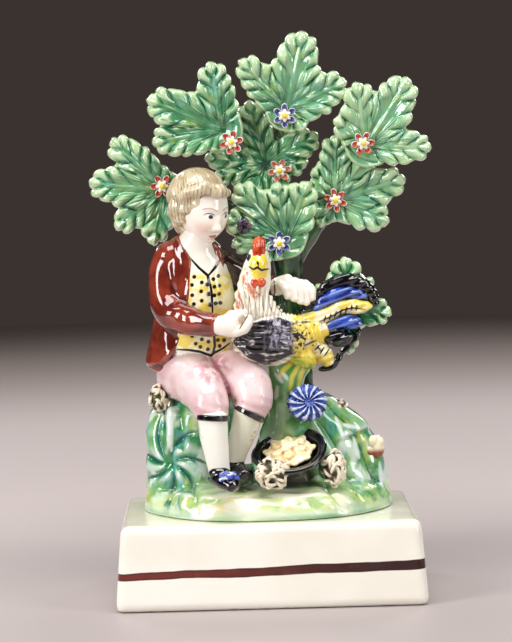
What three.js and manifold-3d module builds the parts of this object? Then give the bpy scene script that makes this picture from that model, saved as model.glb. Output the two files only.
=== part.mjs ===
// A pearlware bocage figure: a seated boy feeds a cockerel that perches on a stump, in front of
// a flowering oak. Boy, bird, tree and mound were luted together and fired as one piece, which
// stands on a press-moulded plinth, hollow and open underneath.
// Millimetres, +Z up, +X to the right of someone who faces the figure, +Y away from them.
// The origin is the middle of the footprint, on the surface that the plinth stands on.
import * as THREE from 'three';
import { mergeVertices } from 'three/addons/utils/BufferGeometryUtils.js';
import Module from 'manifold-3d';

const wasm = await Module();
wasm.setup();

// Driving dimensions
const PLINTH = {
  height: 29.5, wideAtFoot: 108, wideAtTop: 103, deepAtFoot: 74, deepAtTop: 70,
  corner: 3, edge: 2.6, wall: 6, ceiling: 22,
};
const MOUND = { x: 0, y: 3.5, wide: 88.5, deep: 68, back: 31, groundRise: 10.5 };
const LEAF = {
  thick: 4, crown: 1.8, bow: 2.4, palm: 5.4, foot: 0.85, widest: 0.6, longLobe: 21,
  // points along one scallop: [share of its run from the tip, share of the half width, puff]
  scallop: [[0.22, 1.02, 0.8], [0.6, 1.12, 1], [0.98, 0.86, 0.2]],
};
const FLOWER = { radius: 4.1, thick: 2.6, petals: 6 };
const SKIN_TOLERANCE = 0.15;

const { PI, cos, sin, min, max, hypot, abs } = Math;
const TURN = 2 * PI;
const DEGREE = PI / 180;
const V = (x, y, z) => new THREE.Vector3(x, y, z);
const UP = V(0, 0, 1);
const AWAY = V(0, 1, 0);
const RIGHT = V(1, 0, 0);

// Shape tools

const middle = (ring) => ring.reduce((sum, p) => sum.add(p), V(0, 0, 0)).divideScalar(ring.length);

// Rings of equally many points, in order, become one closed skin with a fan over each end.
function skin(rings, ends = [middle(rings[0]), middle(rings.at(-1))]) {
  const count = rings[0].length;
  const points = [...rings.flat(), ...ends];
  const faces = [];
  const foot = rings.length * count;
  const tip = foot + 1;
  const last = (rings.length - 1) * count;
  for (let i = 0; i < count; i++) {
    const j = (i + 1) % count;
    for (let k = 0; k < last; k += count) {
      faces.push(k + i, k + j, k + count + j, k + i, k + count + j, k + count + i);
    }
    faces.push(foot, j, i, tip, last + i, last + j);
  }
  const geometry = new THREE.BufferGeometry().setFromPoints(points);
  return geometry.setIndex(faces);
}

// A closed geometry becomes a solid that can be joined and cut.
function solid(geometry) {
  const bare = new THREE.BufferGeometry();
  bare.setAttribute('position', geometry.getAttribute('position'));
  bare.setIndex(geometry.index);
  const merged = mergeVertices(bare, 1e-4);
  const made = new wasm.Manifold(new wasm.Mesh({
    numProp: 3,
    vertProperties: new Float32Array(merged.attributes.position.array),
    triVerts: new Uint32Array(merged.index.array),
  }));
  return made.volume() < 0 ? solid(turnedOut(merged)) : made;
}

function turnedOut(geometry) {
  const faces = Array.from(geometry.index.array);
  for (let i = 0; i < faces.length; i += 3) {
    [faces[i], faces[i + 1]] = [faces[i + 1], faces[i]];
  }
  return geometry.clone().setIndex(faces);
}

const fuse = (solids) => solids.reduce((whole, part) => whole.add(part));

// A limb, neck, branch or plume: round sections at stations [x, y, z, radius] or
// [x, y, z, width radius, depth radius] along its run, with rounded ends.
function limb(stations, sides = 8, across = AWAY) {
  const at = stations.map(([x, y, z]) => V(x, y, z));
  const rings = [];
  stations.forEach(([, , , wide, deep = wide], i) => {
    const along = at[min(i + 1, at.length - 1)].clone().sub(at[max(i - 1, 0)]).normalize();
    const u = V(0, 0, 0).crossVectors(across, along).normalize();
    const v = V(0, 0, 0).crossVectors(along, u);
    const ring = (shift, share) => Array.from({ length: sides }, (_, s) => {
      const angle = TURN * (s + 0.5) / sides;
      return at[i].clone()
        .addScaledVector(along, shift)
        .addScaledVector(u, wide * share * cos(angle))
        .addScaledVector(v, deep * share * sin(angle));
    });
    const dome = min(wide, deep) * 0.55;
    if (i === 0) rings.push(ring(-dome, 0.6));
    rings.push(ring(0, 1));
    if (i === at.length - 1) rings.push(ring(dome, 0.6));
  });
  return solid(skin(rings));
}

// An egg-shaped mass of clay, turned by roll about Y and then by yaw about Z.
function ball([x, y, z], [wide, deep, tall], roll = 0, yaw = 0, sides = 10, rows = 7) {
  const geometry = new THREE.SphereGeometry(1, sides, rows);
  geometry.rotateX(PI / 2);
  geometry.scale(wide, deep, tall);
  geometry.rotateY(roll * DEGREE);
  geometry.rotateZ(yaw * DEGREE);
  geometry.translate(x, y, z);
  return solid(geometry);
}

// Rock and ground: oval outlines stacked from the plinth upwards, as [z, x, y, half width,
// half depth], flat behind, with upright folds pressed into the clay.
function rock(levels, { sides = 20, folds = 5, depth = 0.05, phase = 0 } = {}) {
  return solid(skin(levels.map(([z, x, y, wide, deep]) => (
    Array.from({ length: sides }, (_, s) => {
      const angle = TURN * s / sides;
      const fold = 1 + depth * cos(folds * angle + phase);
      return V(x + wide * fold * cos(angle), min(y + deep * fold * sin(angle), MOUND.back), z);
    })
  ))));
}

// A spray of oak leaf: scalloped lobes [angle, length, half width] that spread like the fingers
// of a hand from one palm and run together near it. The margin is found as points round the
// palm and round every lobe, less those that lie inside a neighbour, in order about the centre.
function spray([x, y, z], lobes) {
  const halfAt = (half, t) => {
    const swell = LEAF.foot + (1 - LEAF.foot) * sin(min(t / LEAF.widest, 1) * PI / 2);
    const tip = t > LEAF.widest ? Math.sqrt(1 - ((t - LEAF.widest) / (1 - LEAF.widest)) ** 2) : 1;
    return half * swell * tip;
  };
  const covers = ([angle, length, half], p) => {
    const run = p.r * cos(p.angle - angle * DEGREE);
    const side = p.r * sin(p.angle - angle * DEGREE);
    return run > 0 && run < length && abs(side) < halfAt(half, run / length) * 0.96;
  };
  const around = (run, side, turn, rise) => ({
    r: hypot(run, side), angle: Math.atan2(side, run) + turn, rise, rib: run > 0 && side === 0,
  });
  const margin = lobes.flatMap((each) => {
    const [angle, length, half] = each;
    const scallops = length > LEAF.longLobe ? 3 : 2;
    const points = [around(length, 0, angle * DEGREE, 1)];
    for (let s = 0; s < scallops; s++) {
      for (const [within, edge, rise] of LEAF.scallop) {
        const t = 1 - (s + within) / (scallops + 0.3);
        for (const side of [-1, 1]) {
          points.push(around(length * t, side * halfAt(half, t) * edge, angle * DEGREE, rise));
        }
      }
    }
    return points.filter((p) => !lobes.some((other) => other !== each && covers(other, p)));
  });
  const palm = Array.from({ length: 9 }, (_, s) => around(LEAF.palm, 0, TURN * s / 9, 0.6))
    .filter((p) => !lobes.some((each) => covers(each, p)));
  const wrapped = (angle) => ((angle % TURN) + TURN) % TURN;
  const rim = [...margin, ...palm].filter((p) => p.r >= LEAF.palm * 0.99);
  rim.sort((p, q) => wrapped(p.angle) - wrapped(q.angle));
  const ring = (share, height) => rim.map((p) => {
    const arch = LEAF.bow * sin(PI * 0.8 * share * p.r / 28);
    return V(x + share * p.r * cos(p.angle), y - arch - height(p), z + share * p.r * sin(p.angle));
  });
  return solid(skin([
    ring(1, () => 0),
    ring(0.94, (p) => LEAF.thick * 0.85 + LEAF.crown * p.rise),
    ring(0.45, (p) => LEAF.thick + LEAF.crown * (p.rib ? 0.6 : p.rise * 0.3 - 0.3)),
  ], [V(x, y, z), V(x, y - LEAF.thick, z)]));
}

// A flower pressed on to the leaves: petals round a raised eye.
function flower([x, y, z], radius = FLOWER.radius) {
  const sides = 2 * FLOWER.petals;
  const ring = (share, rise, dip) => Array.from({ length: sides }, (_, s) => {
    const angle = TURN * s / sides;
    const reach = radius * share * (s % 2 ? 1 - dip : 1);
    return V(x + reach * cos(angle), y - rise, z + reach * sin(angle));
  });
  const { thick } = FLOWER;
  return solid(skin([ring(0.8, -1.2, 0.2), ring(1, thick * 0.7, 0.32), ring(0.4, thick, 0)]));
}

// The plinth, a hand-pressed box with soft edges that spreads a little to its foot.
function plinth() {
  const perCorner = 4;
  const oblong = (z, wide, deep, corner = PLINTH.corner) => {
    const centres = [[1, 1], [-1, 1], [-1, -1], [1, -1]];
    return centres.flatMap(([sx, sy], q) => Array.from({ length: perCorner }, (_, i) => {
      const angle = (PI / 2) * (q + i / (perCorner - 1));
      return V(
        sx * (wide / 2 - corner) + corner * cos(angle),
        sy * (deep / 2 - corner) + corner * sin(angle),
        z,
      );
    }));
  };
  const { height, wideAtFoot, wideAtTop, deepAtFoot, deepAtTop, edge, wall, ceiling } = PLINTH;
  const outer = solid(skin([
    oblong(0, wideAtFoot, deepAtFoot),
    oblong(height - edge, wideAtTop, deepAtTop),
    oblong(height - edge * 0.3, wideAtTop - edge * 0.6, deepAtTop - edge * 0.6),
    oblong(height, wideAtTop - edge * 2, deepAtTop - edge * 2),
  ]));
  const inner = solid(skin([
    oblong(-1, wideAtFoot - 2 * wall, deepAtFoot - 2 * wall),
    oblong(ceiling, wideAtTop - 2 * wall, deepAtTop - 2 * wall),
  ]));
  return outer.subtract(inner);
}

// Ground, the boy's rocky seat, the bird's stump and the slope to its right.
function mound() {
  const { x, y, wide, deep, groundRise } = MOUND;
  const floor = PLINTH.height;
  const [a, b] = [wide / 2, deep / 2];
  const ground = rock([
    [floor, x, y, a, b],
    [floor + groundRise * 0.4, x, y, a * 0.975, b * 0.965],
    [floor + groundRise * 0.75, x, y, a * 0.93, b * 0.88],
    [floor + groundRise, x, y + 2, a * 0.82, b * 0.7],
    [floor + groundRise * 1.25, x, y + 4, a * 0.5, b * 0.4],
  ], { sides: 21, folds: 6, depth: 0.012 });
  const seat = rock([
    [floor, -26, 12, 17.8, 25],
    [45, -26, 10, 17.4, 21],
    [58, -25.5, 9, 17.6, 18],
    [65, -24.5, 10, 17.2, 17],
    [69, -24, 12, 12, 14],
  ], { sides: 14, folds: 5, depth: 0.045, phase: 1 });
  const hill = rock([
    [floor, 24, 13, 20.5, 22],
    [42, 22.5, 11, 20.5, 20],
    [53, 20, 9.5, 19.5, 18],
    [62, 16.5, 8, 16.5, 16],
    [69, 12, 7, 11.5, 14],
  ], { sides: 14, folds: 5, depth: 0.04, phase: 2 });
  const stump = limb([
    [9, 3, 46, 15, 13], [8.5, 1, 62, 9, 12], [7, -1, 72, 6, 8], [7.5, -2.5, 79, 7, 7],
    [9, -3, 83, 8, 6],
  ], 9);
  return fuse([ground, seat, hill, stump]);
}

// The oak: trunk, the boughs behind the leaves, and the sprays with their flowers.
// Each spray is a centre and its lobes, named by where it sits in the crown.
const SPRAYS = {
  upperLeft: [[-13, 8, 164.5], [[99, 24.5, 6.5], [156, 29, 7.5], [189, 25.5, 6.5]]],
  farLeft: [[-34, 12, 143.5], [[135, 26.5, 6], [173, 27.5, 7], [216, 22.5, 5], [255, 20, 5.5]]],
  top: [[10, 9, 171], [[132, 24.5, 6], [77, 28.5, 8], [25, 23.5, 7], [309, 9, 5]]],
  middle: [
    [2, 17, 151.5],
    [[104, 24, 5.5], [29, 22, 5.5], [2, 14, 4.5], [171, 22, 3.5], [193, 18.5, 3.5]],
  ],
  low: [[9, 7, 125], [[132, 26.5, 6], [70, 19.5, 6], [159, 23.5, 4.5], [182, 18.5, 3]]],
  upperRight: [[38, 8, 157.5], [[138, 15, 4.5], [98, 23, 7], [57, 28.5, 8], [358, 23, 6]]],
  farRight: [
    [26.5, 13, 138.5],
    [[88, 23, 6], [16, 26.5, 6.5], [336, 21, 6], [236, 11, 3.5], [153, 11.5, 3], [125, 13.5, 2.5]],
  ],
  behindTail: [
    [29, 5, 100],
    [[89, 18.5, 7], [47, 14.5, 4], [354, 16.5, 5.5], [275, 16, 3.5], [141, 13.5, 4]],
  ],
};

function oak() {
  const trunk = limb([
    [9, 12, 60, 9], [10, 13, 85, 6.6], [9.5, 13, 108, 4.8], [9, 10.6, 122, 5.6], [6, 15, 136, 5],
    [4, 19, 150, 4.4],
  ], 7);
  const boughs = [
    [[9, 14, 118, 4], [-10, 17.5, 136, 3.4], [-34, 13, 143.5, 2.8]],
    [[5, 19, 148, 4], [-4, 16, 157, 3.2], [-13, 9, 164.5, 2.8]],
    [[5, 19, 148, 4], [8, 16, 160, 3.2], [10, 10, 171, 2.8]],
    [[9.5, 13, 116, 4], [26.5, 17.4, 138.5, 3.4], [38, 9, 157.5, 2.8]],
    [[10, 12, 92, 4], [20, 8, 98, 3], [29, 4, 100, 3]],
  ].map((bough) => limb(bough, 5));
  const flowers = [
    [-10, 3, 160], [-35, 7.5, 145], [9, 4, 169], [7, 11.5, 149.5],
    [6, 1.5, 124], [36.5, 3, 158.5], [26.5, 8, 138.5], [-6.5, 4, 130.5],
  ];
  return fuse([
    trunk, ...boughs,
    ...Object.values(SPRAYS).map(([centre, lobes]) => spray(centre, lobes)),
    ...flowers.map((at) => flower(at)),
  ]);
}

// The boy, from his shoes up. His head turns and bends towards the bird.
function boy() {
  const between = (p, q, share) => p.map((value, i) => value + (q[i] - value) * share);
  const leg = ({ hip, knee, band, ankle, toe }) => fuse([
    limb([[...hip, 10.2, 9.6], [...between(hip, knee, 0.5), 9], [...knee, 7.4], [...band, 5.5]], 8, RIGHT),
    limb([[...band, 5], [...between(band, ankle, 0.45), 4.9], [...ankle, 3.3]], 7, RIGHT),
    limb([[...ankle, 3.6], [...toe, 3.2, 2.6]], 7, RIGHT),
  ]);
  const legs = [
    {
      hip: [-29, 4, 78], knee: [-20, -22, 74], band: [-19, -24, 65.5],
      ankle: [-16.5, -24.5, 46.5], toe: [-13.5, -31, 42.5],
    },
    {
      hip: [-16.5, 4, 78.5], knee: [-4.5, -18, 74], band: [-6, -19, 65.5],
      ankle: [-10, -16, 48], toe: [-7, -22, 43.5],
    },
  ].map(leg);
  const trunkOfBody = limb([
    [-25, 7, 74, 15.5, 12], [-23.5, 4, 84, 13.8, 11], [-22.3, 1.5, 94, 12, 9.4],
    [-22.5, 0, 106, 12.4, 9.2], [-24, 1, 117.5, 12, 8.4], [-24.2, 0, 123.5, 8.2, 7],
    [-22.4, -2, 129, 5, 5],
  ], 11);
  const coatSkirt = rock([
    [81.5, -29, 7, 13.4, 15], [88, -28.5, 6, 12.6, 12.5], [97, -27.5, 4.5, 11.5, 9.5],
  ], { sides: 12, folds: 4, depth: 0.03 });
  const arms = [
    limb([[-33, 0.5, 119, 6.2], [-34.2, -1, 107, 6], [-33, -5, 98.5, 5.8], [-26, -10.5, 95.6, 5],
      [-15.6, -16.5, 96.6, 3.9]], 8),
    limb([[-14.5, 2, 117.5, 6], [-7, 7, 110.5, 5.6], [1, 6.5, 108.4, 5], [5.5, 3, 108, 4.2]], 8, UP),
  ];
  const hands = [
    limb([[-15.4, -17, 96.6, 3], [-11, -19, 96.8, 3.9, 3.4], [-7, -19.5, 98.4, 3, 2.6]], 7),
    ball([-8.2, -18.6, 101.2], [1.6, 1.8, 2.6], 15, 0, 6, 5),
    limb([[6, 0.5, 108.2, 3.4], [10, -2, 107.8, 4, 3.4], [13.2, -4, 105.2, 3.2, 2.2]], 7, UP),
  ];
  const head = [
    ball([-22, -1.5, 140.6], [10.4, 10.8, 10.7], 0, 0, 11, 7),
    ball([-19.6, -4.8, 134], [8.2, 8.4, 9.6], 0, 30, 10, 7),
    ball([-29, -1.5, 134.6], [4, 5.6, 6.4], 0, 0, 7, 5),
    ball([-27, 0.5, 129], [4.4, 4.6, 3.4], 0, 0, 7, 4),
    ball([-13.9, -12.2, 132.6], [1.3, 1.7, 2], 0, 30, 6, 4),
  ];
  return fuse([...legs, trunkOfBody, coatSkirt, ...arms, ...hands, ...head]);
}

// The cockerel: breast to the left, head turned to the front, tail plumes to the right.
function cockerel() {
  const body = limb([
    [-8.5, -10.5, 90.5, 5.2, 5.6], [-4, -9, 90, 8.4, 8.2], [4, -6.5, 89.4, 8.6, 9],
    [12, -4, 90.2, 7.4, 7.6], [19, -2.5, 93, 5, 5.4],
  ], 9, UP);
  const neck = limb([
    [0, -8, 94, 10, 8], [0.2, -9, 101.5, 7.6, 7], [-1.2, -9.6, 109, 6.2, 6],
    [-1.4, -10, 115.5, 5.2, 5.2], [-0.9, -9.6, 120, 3.6, 4.2],
  ], 8);
  const face = [
    ball([-1.3, -11, 124], [2.7, 3, 3.5], 0, 0, 7, 5),
    ball([-1.2, -14, 116.3], [3, 3, 3.6], 0, 0, 7, 5),
    ball([-2.1, -14.2, 111.3], [2.5, 2, 2.3], 0, 0, 7, 5),
  ];
  const plumes = [
    [[16, -2.5, 97, 2.6], [20, -2, 105, 3], [26, -1.6, 110, 3], [32.5, -1.6, 110, 3],
      [38.5, -2, 104.4, 2.6]],
    [[17.5, -3.5, 95.5, 3], [22.5, -3.5, 102, 3.6], [29, -3.4, 105.4, 3.6], [36.5, -3, 102.6, 2.6]],
    [[18, -3, 92.5, 3.4], [25, -4, 97.4, 3.2], [33, -3.6, 100.4, 2.6], [38.4, -2.8, 101.6, 1.6]],
    [[20, -3, 92, 3.6], [26.5, -3.6, 93, 4], [32.6, -3, 94.4, 3.4]],
    [[20, -3, 89.4, 3.6], [25.5, -3, 88.6, 3.8], [30.4, -2.4, 88.6, 3]],
    [[15.5, -3, 86.4, 3.4], [21, -3, 84.4, 3.4], [24, -2.6, 83, 3]],
  ].map((plume) => limb(plume, 6));
  const web = limb([[19, -1.5, 93, 3.5, 6], [27, -1.2, 98, 3, 8.5], [34, -1.6, 101.5, 2.4, 4.6]], 7, UP);
  const thigh = limb([[9, -5, 85, 5, 5], [12.5, -4.5, 81.6, 4.6, 4.2], [9.5, -4, 76.5, 4]], 7);
  return fuse([body, neck, ...face, ...plumes, web, thigh]);
}

// The small things on the mound: the upturned hat of flowers, a coiled rosette, moss and a bud.
function trimmings() {
  const profile = [
    [0, -8.6], [6.6, -8.4], [9.2, -6], [10, -1.6], [13, -0.6], [13.2, 0.8], [9.4, 0.9],
    [8.4, -2.4], [0, -2.6],
  ];
  const hatShape = new THREE.LatheGeometry(profile.map(([r, h]) => new THREE.Vector2(r, h)), 13);
  hatShape.rotateX(PI / 2);
  hatShape.rotateX(27 * DEGREE);
  hatShape.rotateY(-10 * DEGREE);
  hatShape.translate(7.4, -16.5, 51.8);
  const hat = solid(hatShape);
  const posy = ball([7.2, -17, 51.2], [7.6, 5, 3.2], -12, 0, 9, 4);
  const ridges = 12;
  const swirl = (share, rise) => Array.from({ length: 2 * ridges }, (_, s) => {
    const angle = PI * s / ridges;
    const reach = 7.3 * share * (s % 2 ? 1 : 0.93);
    return V(14.1 + reach * cos(angle), -10.5 - rise * (s % 2 ? 1 : 0.75), 68.2 + reach * sin(angle));
  });
  const rosette = solid(skin([swirl(0.8, -3), swirl(1, 0.8), swirl(0.75, 3.2), swirl(0.2, 2)]));
  const moss = [
    [[1.3, -26, 45.6], [7, 5, 6.6]], [[22.6, -20.5, 46], [5.2, 5, 8]],
    [[-38.3, 0, 70], [4.4, 4.4, 5.8]], [[25.6, 2, 65.4], [4.2, 5, 3.4]],
  ].map(([at, size]) => ball(at, size, 0, 0, 7, 5));
  const bud = ball([39, 0, 50], [3, 3.4, 4.8], -20, 0, 7, 5);
  return fuse([hat, posy, rosette, ...moss, bud]);
}

function named(name, body, colour, roughness) {
  const { numProp, numVert, vertProperties, triVerts } = body.getMesh();
  const positions = new Float32Array(numVert * 3);
  for (let i = 0; i < numVert; i++) {
    positions.set(vertProperties.subarray(i * numProp, i * numProp + 3), i * 3);
  }
  const geometry = new THREE.BufferGeometry();
  geometry.setAttribute('position', new THREE.BufferAttribute(positions, 3));
  geometry.setIndex(new THREE.BufferAttribute(triVerts, 1));
  geometry.computeVertexNormals();
  const material = new THREE.MeshStandardMaterial({ color: colour, roughness, metalness: 0 });
  const mesh = new THREE.Mesh(geometry, material);
  mesh.name = name;
  return mesh;
}

// Pockets that the pieces close in between them are solid clay.
function filled(body) {
  const shells = body.decompose();
  return shells.reduce((most, shell) => (shell.volume() > most.volume() ? shell : most));
}

const piece = filled(fuse([mound(), oak(), boy(), cockerel(), trimmings()]).simplify(SKIN_TOLERANCE));
const group = new THREE.Group();
group.add(named('plinth', plinth(), '#f1ede0', 0.15));
group.add(named('figure', piece, '#5f9a6b', 0.12));

export default group;
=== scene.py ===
# %% [markdown]
# # A pearlware figure of a boy, a cockerel and a flowering oak
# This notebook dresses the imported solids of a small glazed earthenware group. The solids give the
# size, the pose and the outline. Here each part gets its modelling, its painted colours and its
# thick, wet-looking glaze. Everything is measured in millimetres and shrunk to metres on the way in.

import math

import bpy
import numpy as np
from mathutils import Matrix, Vector


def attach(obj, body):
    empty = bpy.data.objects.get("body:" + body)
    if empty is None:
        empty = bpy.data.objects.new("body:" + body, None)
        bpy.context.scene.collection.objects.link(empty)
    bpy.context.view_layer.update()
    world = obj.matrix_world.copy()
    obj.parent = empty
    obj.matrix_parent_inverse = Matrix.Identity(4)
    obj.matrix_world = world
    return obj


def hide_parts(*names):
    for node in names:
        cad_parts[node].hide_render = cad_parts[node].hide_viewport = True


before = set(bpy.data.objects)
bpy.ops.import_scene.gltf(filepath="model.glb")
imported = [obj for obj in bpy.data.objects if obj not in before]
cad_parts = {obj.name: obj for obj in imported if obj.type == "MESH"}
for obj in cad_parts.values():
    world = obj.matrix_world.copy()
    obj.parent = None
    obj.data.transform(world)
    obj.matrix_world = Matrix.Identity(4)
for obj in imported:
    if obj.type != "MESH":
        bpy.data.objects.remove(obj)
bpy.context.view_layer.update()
MM = 0.001
TURN = 2 * math.pi

# %% [markdown]
# ## Hands and clay
# A modeller starts from balls and rolls of clay, presses them together and tools the surface. The
# helpers below do the same: a ball, a roll that follows stations along its run, a joining of
# pieces into one skin, and a tool that raises or sinks that skin. They start from Blender's own
# sphere, because its rings turn into any rounded form and it is closed at both poles.

# %% Points of a piece, in millimetres
def alone():
    bpy.ops.object.select_all(action="DESELECT")


def points(piece):
    flat = np.empty(len(piece.data.vertices) * 3, np.float32)
    piece.data.vertices.foreach_get("co", flat)
    return flat.reshape(-1, 3).astype(float) / MM


def place(piece, where):
    flat = np.asarray(where * MM, np.float32).ravel()
    piece.data.vertices.foreach_set("co", flat)
    piece.data.update()
    return piece


def facing(piece):
    flat = np.empty(len(piece.data.vertices) * 3, np.float32)
    piece.data.vertex_normals.foreach_get("vector", flat)
    return flat.reshape(-1, 3).astype(float)


def note(piece, name, values):
    """Keeps one number for every point, under a name that a glaze can read."""
    kept = piece.data.attributes.get(name) or piece.data.attributes.new(name, "FLOAT", "POINT")
    kept.data.foreach_set("value", np.asarray(values, np.float32))
    return piece


def ease(low, high, value):
    share = np.clip((value - low) / (high - low), 0, 1)
    return share * share * (3 - 2 * share)


def bell(value, middle, spread):
    return np.exp(-((value - middle) / spread) ** 2)


def ripple(where, wave, seed):
    """Smooth unevenness from about -1 to 1, roughly one wave long."""
    draw = np.random.default_rng(seed)
    total = 0
    for _ in range(7):
        heading = draw.normal(size=3)
        heading /= np.linalg.norm(heading)
        length = wave * draw.uniform(0.7, 1.5)
        total = total + np.sin(where @ heading * TURN / length + draw.uniform(0, TURN))
    return total / 4


# %% Balls and rolls of clay
def ball(at, size, tip=0, turn=0, around=28, rings=18):
    alone()
    bpy.ops.mesh.primitive_uv_sphere_add(segments=around, ring_count=rings, radius=MM)
    piece = bpy.context.object
    piece.scale = size
    piece.rotation_euler = (0, math.radians(tip), math.radians(turn))
    piece.location = Vector(at) * MM
    bpy.ops.object.transform_apply()
    return piece


def sphere_grid(around, rings):
    """A sphere whose points are told by ring, from 0 at one pole to 1 at the other, and by angle."""
    alone()
    bpy.ops.mesh.primitive_uv_sphere_add(segments=around, ring_count=rings, radius=MM)
    piece = bpy.context.object
    unit = points(piece)
    ring = np.arccos(np.clip(-unit[:, 2], -1, 1)) / math.pi
    return piece, ring, np.arctan2(unit[:, 1], unit[:, 0])


def limb(stations, around=24, across=(0, 1, 0), ends=0.6):
    """A roll of clay through stations (x, y, z, half width[, half depth]) with rounded ends."""
    rows = np.array([[*s, s[3]] if len(s) == 4 else s for s in stations], float)
    steps = np.linalg.norm(np.diff(rows[:, :3], axis=0), axis=1)
    run = np.concatenate([[0], np.cumsum(steps)])
    fine = np.linspace(0, run[-1], 90)
    line = np.stack([np.interp(fine, run, rows[:, k]) for k in range(5)], 1)
    for _ in range(10):
        line[1:-1] = (line[:-2] + 2 * line[1:-1] + line[2:]) / 4
    way = np.gradient(line[:, :3], axis=0)
    way /= np.linalg.norm(way, axis=1)[:, None]
    side = np.cross(across, way)
    side /= np.linalg.norm(side, axis=1)[:, None]
    depth = np.cross(way, side)
    first, last = ends * rows[0, 3:].min(), ends * rows[-1, 3:].min()
    piece, ring, angle = sphere_grid(around, max(16, int(run[-1] / 1.1)))
    along = -first + ring * (run[-1] + first + last)
    inside = np.clip(along, 0, run[-1])
    over = np.where(along < 0, -along / first, np.clip((along - run[-1]) / last, 0, 1))
    close = np.sqrt(np.clip(1 - over ** 2, 0, 1))
    at = [np.interp(inside, fine, column) for column in np.hstack([line, way, side, depth]).T]
    centre, wide, deep = np.stack(at[:3], 1), at[3], at[4]
    way, side, depth = (np.stack(at[k:k + 3], 1) for k in (5, 8, 11))
    spread = (wide * close * np.cos(angle))[:, None] * side + (deep * close * np.sin(angle))[:, None] * depth
    return place(piece, centre + (along - inside)[:, None] * way + spread)


def mass(levels, back=31, around=96, rings=48, folds=5, fold=0.04, phase=0):
    """Rock or ground from ovals (z, x, y, half width, half depth), cut flat behind."""
    rows = np.array(levels, float)
    piece, ring, angle = sphere_grid(around, rings)
    height = rows[0, 0] + (rows[-1, 0] - rows[0, 0]) * np.clip(ring * 1.25 - 0.125, 0, 1)
    close = np.clip(np.minimum(ring, 1 - ring) / 0.1, 0, 1)
    x, y, wide, deep = (np.interp(height, rows[:, 0], rows[:, k]) for k in (1, 2, 3, 4))
    reach = close * (1 + fold * np.cos(folds * angle + phase))
    across = y + deep * reach * np.sin(angle)
    return place(piece, np.stack([x + wide * reach * np.cos(angle), np.minimum(across, back), height], 1))


# %% One skin out of several pieces
def finish(piece, *modifiers):
    alone()
    piece.select_set(True)
    bpy.context.view_layer.objects.active = piece
    for kind, settings in modifiers:
        made = piece.modifiers.new(kind.title(), kind)
        for key, value in settings.items():
            setattr(made, key, value)
        bpy.ops.object.modifier_apply(modifier=made.name)
    return piece


def joined(name, pieces):
    alone()
    for each in pieces:
        each.select_set(True)
    bpy.context.view_layer.objects.active = pieces[0]
    if len(pieces) > 1:
        bpy.ops.object.join()
    whole = bpy.context.object
    whole.name = whole.data.name = name
    return whole


def knead(name, pieces, grain=0.5, soften=3):
    """Presses pieces into one skin with points about a grain apart, and smooths the joins."""
    whole = joined(name, pieces)
    return finish(
        whole,
        ("REMESH", {"mode": "VOXEL", "voxel_size": grain * MM}),
        ("SMOOTH", {"factor": 0.5, "iterations": soften}),
    )


def tool(piece, height):
    """Raises or sinks the skin along its own normals by height(places, normals), in mm."""
    where, out = points(piece), facing(piece)
    return place(piece, where + out * height(where, out)[:, None])


# %% [markdown]
# Glaze runs off ridges and gathers in hollows, so it is pale on the one and deep in the other. To
# paint that, each point notes how far it stands above the skin's own average around it.

# %% Where glaze pools
def pool(piece, rounds=16, reach=0.35):
    pairs = np.empty(len(piece.data.edges) * 2, np.int32)
    piece.data.edges.foreach_get("vertices", pairs)
    a, b = pairs.reshape(-1, 2).T
    where = points(piece)
    count = len(where)
    share = np.bincount(a, minlength=count) + np.bincount(b, minlength=count)
    level = where.copy()
    for _ in range(rounds):
        near = np.stack([
            np.bincount(a, level[b, k], count) + np.bincount(b, level[a, k], count) for k in range(3)
        ], 1) / np.maximum(share, 1)[:, None]
        level = (level + near) / 2
    above = ((where - level) * facing(piece)).sum(1)
    return note(piece, "relief", np.clip(0.5 + 0.5 * above / reach, 0, 1))


def keep(piece):
    """Smooth shading, and its place on the object."""
    alone()
    piece.select_set(True)
    bpy.context.view_layer.objects.active = piece
    bpy.ops.object.shade_smooth()
    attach(piece, "root")
    print(piece.name, len(piece.data.polygons), "faces")
    return piece


# %% [markdown]
# ## The glazes
# Pearlware is a cream-white clay under a clear, slightly blue glaze. Colours are brushed on and
# sink into it. A small class lets the shader maths be written as plain Python, so each glaze below
# reads as a recipe: which colour, where it is thick, and how much the brush left uneven.

# %% Shader maths as Python
class Wire:
    """One socket of a glaze. Sums and products of wires add Math nodes."""

    def __init__(self, glaze, socket):
        self.glaze = glaze
        self.socket = socket

    def maths(self, operation, *values):
        return self.glaze.node("ShaderNodeMath", {"operation": operation}, dict(enumerate(values)))

    def __add__(self, other):
        return self.maths("ADD", self, other)

    def __sub__(self, other):
        return self.maths("SUBTRACT", self, other)

    def __rsub__(self, other):
        return self.maths("SUBTRACT", other, self)

    def __mul__(self, other):
        return self.maths("MULTIPLY", self, other)

    def __truediv__(self, other):
        return self.maths("DIVIDE", self, other)

    def __pow__(self, other):
        return self.maths("POWER", self, other)

    __radd__ = __add__
    __rmul__ = __mul__

    def least(self, other):
        return self.maths("MINIMUM", self, other)

    def most(self, other):
        return self.maths("MAXIMUM", self, other)

    def size(self):
        return self.maths("ABSOLUTE", self)

    def wave(self):
        return self.maths("SINE", self)

    def rise(self, low, high):
        """0 below low, 1 above high, eased between."""
        span = {"From Min": low, "From Max": high}
        return self.glaze.node("ShaderNodeMapRange", {"interpolation_type": "SMOOTHSTEP"}, {"Value": self, **span})

    def fall(self, low, high):
        return 1 - self.rise(low, high)


def linear(colour):
    """A colour as a painter names it, 0 to 255, in the light values that a shader needs."""
    shares = [c / 255 for c in colour]
    return tuple(s / 12.92 if s <= 0.04045 else ((s + 0.055) / 1.055) ** 2.4 for s in shares) + (1,)


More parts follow.
